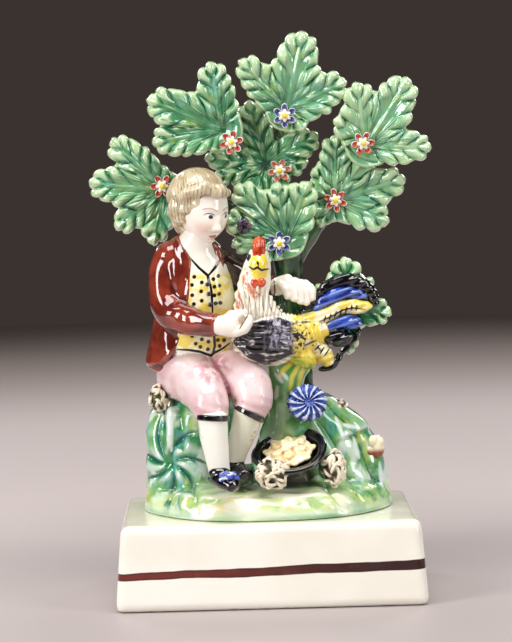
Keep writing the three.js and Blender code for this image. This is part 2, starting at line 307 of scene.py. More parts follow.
class Glaze:
    """One material: paint under a clear coat."""

    def __init__(self, name, gloss=0.16, coat=0.0):
        self.material = bpy.data.materials.new(name)
        self.material.use_nodes = True
        self.tree = self.material.node_tree
        self.shader = self.tree.nodes["Principled BSDF"]
        self.shader.inputs["Roughness"].default_value = gloss
        self.shader.inputs["Coat Weight"].default_value = coat
        self.shader.inputs["Coat Roughness"].default_value = 0.05
        self.shader.inputs["IOR"].default_value = 1.5

    def node(self, kind, settings=None, sockets=None, out=0):
        made = self.tree.nodes.new(kind)
        for key, value in (settings or {}).items():
            setattr(made, key, value)
        for key, value in (sockets or {}).items():
            if isinstance(value, Wire):
                self.tree.links.new(value.socket, made.inputs[key])
            else:
                made.inputs[key].default_value = value
        return Wire(self, made.outputs[out])

    def noted(self, name):
        return self.node("ShaderNodeAttribute", {"attribute_name": name}, out="Fac")

    def spot(self):
        """The place on the object as three wires, in millimetres."""
        split = self.node("ShaderNodeSeparateXYZ", {}, {0: self.place()})
        return [Wire(self, split.socket.node.outputs[k]) * 1000 for k in range(3)]

    def place(self):
        return self.node("ShaderNodeTexCoord", out="Object")

    def mottle(self, size, detail=3, stretch=(1, 1, 1), shift=0.0):
        """Uneven brushing, with patches about size millimetres across."""
        mapped = self.node("ShaderNodeMapping", {}, {
            "Vector": self.place(), "Scale": [1000 / (size * s) for s in stretch], "Location": (shift, shift, 0),
        })
        return self.node("ShaderNodeTexNoise", {}, {"Vector": mapped, "Scale": 1.0, "Detail": detail}, out="Fac")

    def mix(self, share, first, second):
        made = self.tree.nodes.new("ShaderNodeMix")
        made.data_type = "RGBA"
        for socket, value in ((made.inputs[0], share), (made.inputs[6], first), (made.inputs[7], second)):
            if isinstance(value, Wire):
                self.tree.links.new(value.socket, socket)
            else:
                socket.default_value = value if isinstance(value, (int, float)) else linear(value)
        return Wire(self, made.outputs[2])

    def paint(self, colour, bump=None, strength=0.3, gap=0.2, rough=None):
        base = self.shader.inputs["Base Color"]
        if isinstance(colour, Wire):
            self.tree.links.new(colour.socket, base)
        else:
            base.default_value = linear(colour)
        if rough is not None:
            self.tree.links.new(rough.socket, self.shader.inputs["Roughness"])
        if bump is not None:
            bent = self.node("ShaderNodeBump", {}, {"Strength": strength, "Distance": gap * MM, "Height": bump})
            self.tree.links.new(bent.socket, self.shader.inputs["Normal"])
        return self

    def on(self, *pieces):
        for piece in pieces:
            piece.data.materials.clear()
            piece.data.materials.append(self.material)
        return self


# %% [markdown]
# ## The plinth
# A pressed box of clay, a little wider at its foot, with soft edges. Its faces are never quite
# true, so the box is bevelled, given fine points, and its skin is moved by a fraction of a
# millimetre. It is hollow underneath: a second, smaller box is taken away.

# %% The plinth's clay
PLINTH = {"height": 29.5, "foot": (108, 74), "top": (103, 70), "wall": 6, "ceiling": 22}


def tapered_box(low, high, foot, top, edge):
    alone()
    bpy.ops.mesh.primitive_cube_add(size=2 * MM)
    piece = bpy.context.object
    corner = points(piece)
    level = (corner[:, 2:] + 1) / 2
    half = (np.array(foot) * (1 - level) + np.array(top) * level) / 2
    place(piece, np.hstack([corner[:, :2] * half, low + level * (high - low)]))
    return finish(piece, ("BEVEL", {"width": edge * MM, "segments": 5, "limit_method": "ANGLE"}))


outer = tapered_box(0, PLINTH["height"], PLINTH["foot"], PLINTH["top"], 2.6)
inner_foot = [side - 2 * PLINTH["wall"] for side in PLINTH["foot"]]
inner_top = [side - 2 * PLINTH["wall"] for side in PLINTH["top"]]
inner = tapered_box(-8, PLINTH["ceiling"], inner_foot, inner_top, 2)
plinth = finish(outer, ("BOOLEAN", {"object": inner, "operation": "DIFFERENCE", "solver": "EXACT"}))
bpy.data.objects.remove(inner)
plinth = knead("plinth_clay", [plinth], grain=0.9, soften=2)


def pressed_by_hand(where, out):
    dips = 0.16 * ripple(where, 46, 3) + 0.05 * ripple(where, 14, 4)
    return np.where(where[:, 2] > 1.5, dips, 0)


tool(plinth, pressed_by_hand)
where = points(plinth)
where[:, 2] = np.where(where[:, 2] < 0.9, np.maximum(where[:, 2], 0.0), where[:, 2])
place(plinth, where)
keep(plinth)
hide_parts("plinth")

# %% [markdown]
# The plinth is left creamy white. One brown band runs right round it, drawn by hand on a turning
# wheel, so it wavers, thickens to the right and has darker edges where the paint stopped.

# %% The plinth's glaze and band
white = Glaze("pearl_glaze", gloss=0.14)
x, y, z = white.spot()
sway = white.mottle(40, 1) * 1.6 + white.mottle(9, 2) * 0.5
middle = 12.35 + x * 0.012 + sway
band_half = 1.25 + x * 0.004 + white.mottle(14, 2, shift=3.0) * 0.5
off_line = (z - middle).size()
band = off_line.fall(band_half - 0.12, band_half + 0.12)
edge_dark = off_line.rise(band_half - 0.9, band_half - 0.1)
brown = white.mix(x.rise(-45, 40), (112, 44, 34), (52, 26, 24))
brown = white.mix(edge_dark * 0.6, brown, (40, 20, 18))
brown = white.mix(white.mottle(5, 2).rise(0.5, 0.8) * 0.35, brown, (150, 84, 66))
body = white.mix(white.mottle(30, 3).rise(0.4, 0.7), (243, 239, 228), (236, 231, 217))
on_top = z.rise(27.5, 29.3)
tint = white.mottle(16, 3, stretch=(4, 1, 1)).rise(0.42, 0.7)
body = white.mix(on_top * (0.35 + tint * 0.4), body, (222, 220, 190))
low_edge = z.fall(0.2, 1.2) * white.mottle(5, 3).rise(0.52, 0.66)
body = white.mix(low_edge * 0.5, body, (120, 104, 88))
white.paint(white.mix(band, body, brown), bump=white.mottle(22, 2), strength=0.12, gap=0.4).on(plinth)

# %% [markdown]
# ## Painting lines
# The painter drew edges, buttons, feathers and seams with a fine loaded brush, over the relief and
# seen from the front. To follow that, each point of a skin notes how far it is from the nearest
# stroke or from the edge of a painted patch, in the plane of the picture. A glaze then turns that
# distance into a crisp line of any width.

# %% Distance to strokes and patches
def stroke_gap(flat, run, width):
    """How far each place is outside a brush stroke that thins towards both ends."""
    path = np.array(run, float)
    if len(path) == 1:
        return np.hypot(*(flat - path[0]).T) - width
    steps = np.hypot(*np.diff(path, axis=0).T)
    best = np.full(len(flat), 99.0)
    done = 0
    for first, second, step in zip(path[:-1], path[1:], steps):
        share = np.clip((flat - first) @ (second - first) / step ** 2, 0, 1)
        gap = np.hypot(*(flat - first - share[:, None] * (second - first)).T)
        along = np.clip((done + share * step) / steps.sum(), 0.03, 0.97)
        best = np.minimum(best, gap - width * (0.4 + 0.6 * np.sqrt(np.sin(math.pi * along))))
        done += step
    return best


def ink(piece, name, runs, width=0.4):
    where, out = points(piece), facing(piece)
    flat = where[:, [0, 2]]
    best = np.min([stroke_gap(flat, run, width) for run in runs], axis=0)
    return note(piece, name, best + 5 * ease(-0.05, 0.45, out[:, 1]))


def patch_gap(flat, outline):
    """Below 0 inside a painted patch, above 0 outside it."""
    path = np.array([*outline, outline[0]], float)
    best = np.full(len(flat), 99.0)
    crossed = np.zeros(len(flat), int)
    for first, second in zip(path[:-1], path[1:]):
        span = second - first
        share = np.clip((flat - first) @ span / (span @ span), 0, 1)
        best = np.minimum(best, np.hypot(*(flat - first - share[:, None] * span).T))
        between = (first[1] > flat[:, 1]) != (second[1] > flat[:, 1])
        lean = span[0] / span[1] if span[1] else 0
        crossed += between & (flat[:, 0] < first[0] + (flat[:, 1] - first[1]) * lean)
    return np.where(crossed % 2 == 1, -best, best)


def patch(piece, name, outline):
    where, out = points(piece), facing(piece)
    gap = patch_gap(where[:, [0, 2]], outline)
    return note(piece, name, np.clip(gap, -3, 3) + 5 * ease(-0.05, 0.45, out[:, 1]))


# %% [markdown]
# ## The ground, the rocks and the stump
# The mound is one mass of clay with a steep little rim. On the left it climbs to the rock that the
# boy sits on, on the right to a slope. Both were pinched into folds while soft. Ovals stacked from
# the plinth upwards give each mass, and they are kneaded together so that the glaze can flow over
# the joins.

# %% The mound's clay
FLOOR = PLINTH["height"]
ground = mass([
    (FLOOR, 0, 3.5, 44.2, 34), (33.7, 0, 3.5, 43.2, 32.8), (37.4, 0, 3.5, 41, 30),
    (40, 0, 5.5, 36, 24), (42.6, 0, 7.5, 22, 13.6),
], folds=6, fold=0.012, around=128)
seat = mass([
    (FLOOR, -26, 12, 17.8, 25), (45, -26, 10, 17.4, 21), (58, -25.5, 9, 17.6, 18),
    (65, -24.5, 10, 17.2, 17), (69, -24, 12, 12, 14),
], fold=0.035, phase=1)
slope = mass([
    (FLOOR, 24, 13, 20.5, 22), (42, 22.5, 11, 20.5, 20), (53, 20, 9.5, 19.5, 18),
    (62, 16.5, 8, 16.5, 16), (69, 12, 7, 11.5, 14),
], fold=0.035, phase=2)
stump = limb([
    (9, 3, 46, 15, 13), (8.5, 1, 62, 9, 12), (7, -1, 72, 6, 8), (7.5, -2.5, 79, 7, 7), (9, -3, 83, 8, 6),
], around=40)
mound = knead("mound_clay", [ground, seat, slope, stump], grain=0.6, soften=5)


# %% Folds pinched into the rocks
PINCH = (-34.4, 47.6)


def drapery(where):
    """Folds that spread from the pinch: 1 on their swell, 0 in their creases, and where they show."""
    dx, dz = where[:, 0] - PINCH[0], where[:, 2] - PINCH[1]
    reach = np.hypot(dx, dz * 0.8)
    heading = np.arctan2(dz, dx) + 0.05 * reach
    swell = np.abs(np.sin(heading * 3.5 + 0.9)) ** 0.6
    shown = ease(19, 8, reach) * ease(-8, -15, where[:, 0]) * ease(FLOOR + 1, FLOOR + 4, where[:, 2])
    return swell, shown, reach


def pinches(where, out):
    x, y, z = where.T
    front = ease(0.1, -0.5, out[:, 1])
    swell, shown, reach = drapery(where)
    star = shown * (2.1 * (swell - 0.55) * ease(0.5, 5, reach) - 1.0 * bell(reach, 0, 2))
    ridge = 1.3 * bell(x + 33.6 + 0.05 * (z - 55), 0, 1.3) - 0.9 * bell(x + 36.6, 0, 1.1) - 0.7 * bell(x + 30.2, 0, 1.2)
    left = ridge * ease(50, 54, z) * ease(70, 64, z) * ease(-20, -28, x)
    right_side = ease(13, 18, x) * ease(FLOOR + 1, FLOOR + 5, z)
    slanted = (x - 24) * 0.86 + (z - 50) * 0.5
    steps = np.abs(np.sin(slanted * 0.42 + 0.5 * np.sin(z * 0.2))) ** 0.6
    ledge = 1.2 * ease(54.5, 56.5, z - 0.25 * (x - 30)) * ease(64, 58, z) * ease(22, 28, x)
    right = right_side * (1.7 * (steps - 0.6) + ledge)
    lumps = 0.3 * ripple(where, 11, 7) + 0.12 * ripple(where, 5, 8)
    grass = 0.2 * np.sin(y * 1.3 + 1.6 * np.sin(x * 0.14)) * ease(0.3, 0.7, out[:, 2])
    grass += 0.35 * ripple(where * (1, 2.2, 1), 16, 9) * ease(44, 40, z)
    return front * (star + left + right) + lumps * ease(31, 36, z) + grass * ease(48, 42, z) * ease(30, 34, z)


tool(mound, pinches)
where = points(mound)
where[:, 2] = np.maximum(where[:, 2], FLOOR)
place(mound, where)
swell, shown, reach = drapery(points(mound))
note(mound, "crease", (1 - swell) * shown * ease(0, 3, reach) * ease(0.1, -0.4, facing(mound)[:, 1]))
ink(mound, "streams", [
    [(15, 83), (12.4, 78), (11, 71)], [(12.6, 82.6), (9.2, 77.4), (8.4, 72.6)], [(16.6, 81), (15, 76), (12.4, 70), (12.4, 66)],
    [(10, 83), (6.4, 80), (4.4, 77)],
], 0.8)
# Near-white strokes on the stump and the rock ridges: painted highlights.
ink(mound, "glints", [
    [(3.4, 78.4), (5.6, 75.6)], [(4, 74), (3.2, 69.6)], [(6, 78.6), (7.6, 76.6)], [(30.6, 54.6), (32.4, 47.4)],
    [(35.6, 52.6), (37.4, 45.8)], [(27.4, 59.4), (32, 58)], [(-33.8, 66), (-34, 52)], [(40, 45), (40.6, 37)], [(24.4, 62), (27, 55)],
], 0.7)
pool(mound, rounds=22, reach=0.55)
keep(mound)
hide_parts("figure")

# %% [markdown]
# Leaf green, turquoise and yellow were dabbed on wet, so they run together. The rocks are green
# with pale blue-white where the folds stand out, the ground is straw-coloured with olive strokes,
# and a thin green line is drawn round the bottom of the rim.

# %% The mound's glaze
moss_green = Glaze("mound_glaze", gloss=0.1, coat=0.5)
x, y, z = moss_green.spot()
relief = moss_green.noted("relief")
patch_wide = moss_green.mottle(12, 4)
streak = moss_green.mottle(3.4, 4, stretch=(1, 1, 3.4), shift=2.0)
rock = moss_green.mix(patch_wide.rise(0.4, 0.6), (52, 136, 82), (122, 178, 98))
rock = moss_green.mix(streak.rise(0.52, 0.64) * 0.8, rock, (92, 168, 158))
rock = moss_green.mix(moss_green.mottle(9, 4, stretch=(1, 1, 1.6), shift=6.0).rise(0.5, 0.6) * 0.85, rock, (222, 236, 222))
rock = moss_green.mix(moss_green.mottle(7, 3, stretch=(1, 1, 2), shift=9.0).rise(0.56, 0.68) * 0.7, rock, (196, 214, 110))
rock = moss_green.mix(relief.rise(0.55, 0.9) * 0.7, rock, (230, 240, 230))
rock = moss_green.mix(relief.fall(0.14, 0.44) * 0.85, rock, (16, 88, 60))
rock = moss_green.mix(moss_green.noted("crease").rise(0.34, 0.8) * 0.9, rock, (24, 96, 98))
back_rock = z.rise(50, 60) * x.rise(-8, -2) * x.fall(16, 24)
rock = moss_green.mix(back_rock * 0.55, rock, (84, 156, 66))
strokes = moss_green.mottle(3, 4, stretch=(4, 1.4, 1), shift=5.0)
straw = moss_green.mix(strokes.rise(0.46, 0.6), (240, 238, 212), (206, 222, 156))
straw = moss_green.mix(moss_green.mottle(3.4, 4, stretch=(4.4, 1.2, 1), shift=7.0).rise(0.54, 0.64) * 0.75, straw, (140, 186, 104))
straw = moss_green.mix(moss_green.mottle(4, 3, stretch=(3.4, 1, 1), shift=11.0).rise(0.58, 0.7) * 0.7, straw, (246, 218, 150))
straw = moss_green.mix(relief.fall(0.2, 0.46) * 0.5, straw, (128, 172, 96))
straw = moss_green.mix(y.rise(-24, -16) * 0.6, straw, (120, 180, 104))
ground_part = z.fall(39.5, 44) * x.rise(-30, -21) * x.fall(24, 32)
surface = moss_green.mix(ground_part, rock, straw)
side_foot = z.fall(34, 40) * (1 - ground_part)
surface = moss_green.mix(side_foot * moss_green.mottle(5, 3, shift=14.0).rise(0.42, 0.56) * 0.7, surface, (206, 222, 128))
surface = moss_green.mix(z.fall(31.5, 34.5) * 0.65, surface, (212, 228, 204))
rim_line = z.fall(30.3, 32) * moss_green.mottle(26, 2).rise(0.34, 0.5)
surface = moss_green.mix(rim_line * (0.35 + x.rise(0, 30) * 0.6), surface, (70, 150, 104))
surface = moss_green.mix(moss_green.noted("streams").fall(-0.4, 0.5) * 0.9, surface, (232, 216, 84))
# Painted highlights: the glint strokes are laid on in near-white.
surface = moss_green.mix(moss_green.noted("glints").fall(-0.4, 0.4) * 0.85, surface, (232, 242, 238))
moss_green.paint(surface, bump=moss_green.mottle(4, 2), strength=0.1, gap=0.3).on(mound)

# %% [markdown]
# ## The oak
# The trunk rises behind the bird and forks into plain boughs behind the crown. The crown is eight
# flat sprays, each cut from a slab and pressed in a mould: broad lobes that spread like fingers,
# with scalloped margins, a raised rib along each lobe and puffed cushions between the veins.

# %% Trunk and boughs
trunk = limb([
    (9, 12, 60, 9), (10, 13, 85, 6.6), (9.5, 13, 108, 4.8), (9, 10.6, 122, 5.6), (6, 15, 136, 5), (4, 19, 150, 4.4),
], around=36)
boughs = [
    limb([(9, 14, 118, 4), (-10, 17.5, 136, 3.4), (-34, 13, 143.5, 2.8)]),
    limb([(5, 19, 148, 4), (-4, 16, 157, 3.2), (-13, 9, 164.5, 2.8)]),
    limb([(5, 19, 148, 4), (8, 16, 160, 3.2), (10, 10, 171, 2.8)]),
    limb([(9.5, 13, 116, 4), (26.5, 17.4, 138.5, 3.4), (38, 9, 157.5, 2.8)]),
    limb([(10, 12, 92, 4), (20, 8, 98, 3), (29, 4, 100, 3)]),
]
wood = knead("trunk_and_boughs", [trunk, *boughs], grain=0.55, soften=4)
tool(wood, lambda where, out: (
    0.3 * np.sin(np.arctan2(where[:, 1] - 12, where[:, 0] - 9) * 7 + where[:, 2] * 0.12) + 0.2 * ripple(where, 7, 12)
))
pool(wood)
keep(wood)

# %% [markdown]
# A spray is worked out round its margin. Each lobe is a tapering finger about its rib. Where two
# fingers meet, the clay runs together in a web, and a soft union of their depths gives that. The
# margin is walked in even steps, scallops are pushed out from it, and rings of points are laid
# from the centre to the margin and back behind.

# %% Lobes and the webs between them
LEAF = {"thick": 3.8, "bow": 2.4, "foot": 0.86, "tip": 0.8, "palm": 5.4, "web": 0.9, "scallop": 5.0, "cut": 2.1}


def lobe_view(lobe, flat):
    """Run along the rib, distance off it, depth inside the margin, and way round from the tip."""
    heading, length, half = lobe[0], lobe[1], lobe[2] * 1.08
    c, s = math.cos(math.radians(heading)), math.sin(math.radians(heading))
    run, off = flat @ (c, s), flat @ (-s, c)
    tip = half * LEAF["tip"]
    along = np.clip(run, 0, length - tip)
    share = along / (length - tip)
    radius = half * (LEAF["foot"] + (1 - LEAF["foot"]) * np.sin(np.clip(share / 0.6, 0, 1) * math.pi / 2))
    radius = radius - (half - tip) * ease(0.72, 1, share)
    inside = radius - np.hypot(run - along, off)
    past = np.maximum(run - (length - tip), 0)
    way = np.where(past > 0, tip * np.arctan2(np.abs(off), past), tip * math.pi / 2 + (length - tip) - run)
    return run, off, inside, way


def spray_depth(lobes, flat):
    depths = [lobe_view(lobe, flat)[2] for lobe in lobes] + [LEAF["palm"] - np.hypot(flat[:, 0], flat[:, 1])]
    return LEAF["web"] * np.log(sum(np.exp(np.clip(d / LEAF["web"], -30, 30)) for d in depths))


def scallops(lobe, flat, seed):
    """How far round its scallop each place lies: 1 on the swell, 0 in the notch, and how bold it is."""
    run, off, inside, way = lobe_view(lobe, flat)
    draw = np.random.default_rng(seed)
    left, right = draw.uniform(0.88, 1.22, 2)
    depth = np.clip(inside, 0, 9)
    slanted = way - 0.85 * depth * np.clip(way / (lobe[2] * LEAF["tip"] * 1.57), 0, 1)
    wander = 0.5 * np.sin(run * 0.55 + 9 * draw.random()) * ease(2, 6, way)
    beat = (slanted + wander) / (LEAF["scallop"] * np.where(off > 0, left, right))
    bold = 0.75 + 0.35 * np.sin(np.rint(beat) * 2.4 + np.where(off > 0, 1, 4) + seed)
    return np.abs(np.cos(math.pi * beat)) ** 0.5, bold * ease(-0.02, 0.3, run / lobe[1])


def nearest_lobe(lobes, flat):
    depths = np.stack([lobe_view(lobe, flat)[2] for lobe in lobes])
    order = np.sort(depths, axis=0)
    return depths.argmax(0), order[-1] - (order[-2] if len(lobes) > 1 else -9)


# %% The margin, walked in even steps
def margin(lobes, seed, around):
    heading = np.linspace(0, TURN, 900, endpoint=False)
    reach = np.linspace(1, 36, 240)
    rays = np.stack([np.cos(heading), np.sin(heading)], 1)
    places = (rays[:, None, :] * reach[None, :, None]).reshape(-1, 2)
    inside = spray_depth(lobes, places).reshape(900, 240) > 0
    radius = reach[239 - inside[:, ::-1].argmax(1)]
    for _ in range(3):
        radius = (np.roll(radius, 1) + 2 * radius + np.roll(radius, -1)) / 4
    loop = rays * radius[:, None]
    loop = np.vstack([loop, loop[:1]])
    arc = np.concatenate([[0], np.cumsum(np.hypot(*np.diff(loop, axis=0).T))])
    column = np.linspace(0, arc[-1], around, endpoint=False)
    base = np.stack([np.interp(column, arc, loop[:, k]) for k in (0, 1)], 1)
    tangent = np.roll(base, -1, 0) - np.roll(base, 1, 0)
    out = np.stack([tangent[:, 1], -tangent[:, 0]], 1)
    for _ in range(3):
        out = np.roll(out, 1, 0) + 2 * out + np.roll(out, -1, 0)
    out /= np.linalg.norm(out, axis=1)[:, None]
    which, _ = nearest_lobe(lobes, base)
    push = np.zeros(around)
    for k, lobe in enumerate(lobes):
        swell, bold = scallops(lobe, base, seed * 10 + k)
        push = np.where(which == k, LEAF["cut"] * bold * (swell - 0.72), push)
    push = (np.roll(push, 1) + 4 * push + np.roll(push, -1)) / 6
    return base, out, push


# %% [markdown]
# The relief of a leaf has a rib along each lobe, a cushion behind each scallop that slants back to
# the rib, a groove behind each notch, a valley along each web, and a thin rolled lip at the margin.

# %% The relief of a leaf
def leaf_relief(lobes, flat, to_edge, seed):
    which, lead = nearest_lobe(lobes, flat)
    height = np.zeros(len(flat))
    for k, lobe in enumerate(lobes):
        run, off, inside, way = lobe_view(lobe, flat)
        swell, bold = scallops(lobe, flat, seed * 10 + k)
        fade = ease(lobe[1] * 0.97, lobe[1] * 0.7, run) * ease(1, 5, run)
        rib = 0.4 * bell(off, 0, 0.55) * fade - 0.4 * bell(np.abs(off), 1.6, 0.9) * fade
        cushion = bold * swell * (1.25 * bell(to_edge, 2.6, 2.1) + 0.45 * bell(to_edge, 5.5, 2.2))
        groove = -1.2 * (1 - swell) * bell(to_edge, 1.8, 2.6)
        height = np.where(which == k, rib + cushion + groove, height)
    web = -0.8 * bell(lead, 0, 0.9) * ease(7, 12, np.hypot(flat[:, 0], flat[:, 1]))
    dish = -0.7 * ease(3.5, 6.5, to_edge)
    lip = 0.4 * bell(to_edge, 0.7, 0.5)
    flat3 = np.hstack([flat, np.zeros((len(flat), 1))])
    return height + web + dish + lip + 0.22 * ripple(flat3, 8, seed + 90)


# %% A spray's slab, from its centre to its margin and back
def spray(name, centre, lobes, seed, tone, around=380, front=30, behind=8):
    base, out, push = margin(lobes, seed, around)
    piece, ring, angle = sphere_grid(around, front + behind)
    which = np.rint((angle % TURN) / TURN * around).astype(int) % around
    step = np.rint(ring * (front + behind))
    ahead = step <= front
    share = np.where(ahead, (step / front) ** 0.75, (front + behind - step) / behind)
    flat = base[which] * share[:, None]
    flat += out[which] * (push[which] * ease(0.5, 1, share))[:, None]
    to_edge = np.maximum(spray_depth(lobes, flat) + push[which], 0) * ease(1, 0.93, share)
    height = leaf_relief(lobes, flat, to_edge, seed)
    rounded = np.sqrt(np.clip(1 - (1 - np.clip(to_edge / 1.5, 0, 1)) ** 2, 0, 1))
    arch = LEAF["bow"] * np.sin(np.clip(math.pi * 0.8 * np.hypot(*flat.T) / 28, 0, 3))
    sway = 0.6 * ripple(np.hstack([flat, np.zeros((len(flat), 1))]), 24, seed + 50)
    middle = centre[1] - arch - 1.5 + sway
    y = np.where(ahead, middle - rounded * (LEAF["thick"] - 1.5 + height), middle + 1.3 * rounded)
    place(piece, np.stack([centre[0] + flat[:, 0], y, centre[2] + flat[:, 1]], 1))
    piece.name = piece.data.name = name
    alone()
    piece.select_set(True)
    bpy.context.view_layer.objects.active = piece
    bpy.ops.object.mode_set(mode="EDIT")
    bpy.ops.mesh.select_all(action="SELECT")
    bpy.ops.mesh.normals_make_consistent(inside=False)
    bpy.ops.object.mode_set(mode="OBJECT")
    note(piece, "edge", np.where(ahead, to_edge, 0.4))
    note(piece, "tone", np.full(len(flat), tone))
    finish(piece, ("SMOOTH", {"factor": 0.5, "iterations": 1}))
    pool(piece, rounds=24, reach=0.5)
    return keep(piece)


SPRAYS = {
    "upper_left": ((-13, 8, 164.5), [(99, 24.5, 6.5), (156, 29, 7.5), (189, 25.5, 6.5)], 0.15),
    "far_left": ((-34, 12, 143.5), [(135, 26.5, 6), (173, 27.5, 7), (216, 22.5, 5), (255, 20, 5.5)], 0.3),
    "top": ((10, 9, 171), [(132, 24.5, 6), (77, 28.5, 8), (25, 23.5, 7), (309, 9, 5)], 0.55),
    "middle": (
        (2, 17, 151.5),
        [(104, 24, 5.5), (29, 22, 5.5), (2, 15, 5), (171, 22, 4), (193, 19, 4), (300, 15, 5), (240, 14, 5)], 0.1,
    ),
    "low": ((9, 7, 125), [(132, 27, 6), (70, 22, 6.5), (100, 21, 5), (159, 24, 5.2), (183, 20, 4.2), (208, 15, 4)], 0.35),
    "upper_right": ((38, 8, 157.5), [(138, 15, 4.5), (98, 23, 7), (57, 28.5, 8), (358, 23, 6)], 0.9),
    "far_right": (
        (26.5, 13, 138.5),
        [(88, 23.5, 6), (52, 20, 5), (16, 26.5, 6.5), (336, 21, 6), (236, 11, 3.5), (153, 11.5, 3), (125, 13.5, 3)], 0.65,
    ),
    "behind_tail": (
        (29, 5, 100), [(89, 18.5, 7), (47, 14.5, 4), (354, 16.5, 5.5), (275, 16, 3.5), (141, 13.5, 4)], 0.0,
    ),
}
leaves = [
    spray("leaves_" + name, centre, lobes, seed, tone)
    for seed, (name, (centre, lobes, tone)) in enumerate(SPRAYS.items())
]

# %% [markdown]
# The leaves carry one strong copper green. It is thin and pale, almost white, on every ridge and
# along the margins, and dark where it has gathered. Streaks of blue-green and of yellow-green show
# where two brushfuls met, and each spray had its own brushful.

# %% The leaf glaze
leaf_green = Glaze("leaf_glaze", gloss=0.07, coat=0.8)
relief = leaf_green.noted("relief")
edge = leaf_green.noted("edge")
tone = leaf_green.noted("tone")
brushful = leaf_green.mottle(11, 3).rise(0.36, 0.64)
deep = leaf_green.mix(brushful, (34, 118, 72), (84, 158, 102))
light = leaf_green.mix(brushful, (116, 174, 130), (162, 200, 152))
green = leaf_green.mix((tone + leaf_green.mottle(9, 2, shift=2.0) * 0.5 - 0.25).least(1).most(0), deep, light)
green = leaf_green.mix(leaf_green.mottle(6, 3, shift=4.0).rise(0.54, 0.7) * 0.6, green, (112, 186, 162))
green = leaf_green.mix(leaf_green.mottle(6, 3, shift=8.0).rise(0.56, 0.7) * 0.6, green, (150, 184, 96))
green = leaf_green.mix(relief.fall(0.12, 0.46) * 0.8, green, (10, 76, 46))
green = leaf_green.mix(relief.rise(0.54, 0.9) * 0.75, green, (200, 222, 176))
thin = edge.fall(0.05, 0.9) * leaf_green.mottle(4, 2, shift=6.0).rise(0.3, 0.6)
green = leaf_green.mix(thin * 0.7, green, (206, 220, 172))
leaf_green.paint(green, bump=leaf_green.mottle(2.4, 2), strength=0.12, gap=0.25).on(*leaves)

bark = Glaze("bark_glaze", gloss=0.1, coat=0.5)
x, y, z = bark.spot()
relief = bark.noted("relief")
# The bark's greens are kept very dark: partly the wood's own dark green, partly painted shade for the trunk behind the
# bird and under its hand.
tone = bark.mix(bark.mottle(9, 3).rise(0.4, 0.62), (18, 50, 30), (48, 92, 54))
tone = bark.mix(bark.mottle(4, 3, stretch=(1, 1, 3)).rise(0.52, 0.7) * 0.7, tone, (70, 58, 40))
tone = bark.mix(relief.rise(0.6, 0.9) * 0.4, tone, (120, 150, 104))
tone = bark.mix(relief.fall(0.2, 0.45) * 0.7, tone, (20, 30, 22))
bark.paint(tone, bump=bark.mottle(3, 2), strength=0.12, gap=0.3).on(wood)

# %% [markdown]
# ## The boy
# He sits on the rock with his knees to the front, his head bent towards the bird. His chest comes
# first: one skin for neck, shirt and waistcoat. The waistcoat lies a little above the shirt, and
# its edge is the black line that the painter followed.

# %% Neck, shirt and waistcoat
WAISTCOAT = [
    (-27, 121.3), (-22.6, 116.6), (-19.3, 113.6), (-17, 116.4), (-15, 119.2), (-9, 122), (-6, 84), (-18.6, 85.2),
    (-22.8, 86.9), (-31, 87.6), (-46, 88), (-46, 121),
]
trunk_of_boy = limb([
    (-24, 7, 79, 12, 10), (-23.5, 4, 84, 13, 10.8), (-22.3, 1.5, 94, 12, 9.4), (-22.5, 0, 106, 12.2, 9.2),
    (-23.6, 1, 117.5, 11.6, 8.4), (-23.6, 0, 123, 8.6, 7), (-22.4, -2, 128, 5.2, 5.2), (-21, -3, 134, 5, 5),
], around=48)
chest = knead("shirt_and_waistcoat", [trunk_of_boy], grain=0.5, soften=3)
tool(chest, lambda where, out: (
    0.4 * ease(0.35, -0.35, patch_gap(where[:, [0, 2]], WAISTCOAT)) * ease(0.2, -0.3, out[:, 1])
    - 0.35 * bell(where[:, 0] + 18.8, 0, 0.5) * ease(114, 112, where[:, 2]) * ease(0, -0.4, out[:, 1])
    + 0.22 * ripple(where, 9, 21)
))
patch(chest, "waistcoat", WAISTCOAT)
ink(chest, "seams", [
    [(-26, 120.4), (-22.6, 116.5), (-19.6, 113.8), (-19.2, 111.6), (-18.5, 108.9), (-18.3, 106.3), (-18.2, 100)],
    [(-14.6, 119.6), (-17, 116.3), (-19.2, 113.8)],
    [(-31, 87.7), (-26.5, 87.5), (-23, 86.9), (-19.1, 85.3), (-18.2, 86.2), (-15, 87.6), (-12.6, 89.2)],
    [(-17.9, 94), (-17.7, 88.7), (-18.6, 85.6)],
], 0.5)
ink(chest, "dots", [
    [place_of_dot] for place_of_dot in (
        (-24.3, 113.4), (-25.2, 110.6), (-21.7, 111.4), (-22, 108.3), (-25.2, 107), (-21.9, 105), (-24.7, 103.9),
        (-17.6, 112.4), (-17.3, 109.7), (-15.9, 113.4), (-15.6, 110), (-17.4, 106.7), (-15.7, 107.2), (-17.1, 103.9),
        (-15.4, 104), (-25.6, 92.6), (-22.2, 91.3), (-24.4, 89.8), (-19.9, 90.4), (-22.8, 88.6), (-20.2, 87.7),
        (-16.6, 90.8), (-16, 88.6), (-14.4, 90.6),
    )
], 0.74)
buttons = [ball(at, (0.85, 0.5, 0.85), around=14, rings=10) for at in (
    (-19.7, -9.2, 110.7), (-19.3, -9.5, 107.4), (-18.9, -9.8, 103.6),
)]
pool(chest)
keep(chest)
buttons = keep(joined("waistcoat_buttons", buttons))

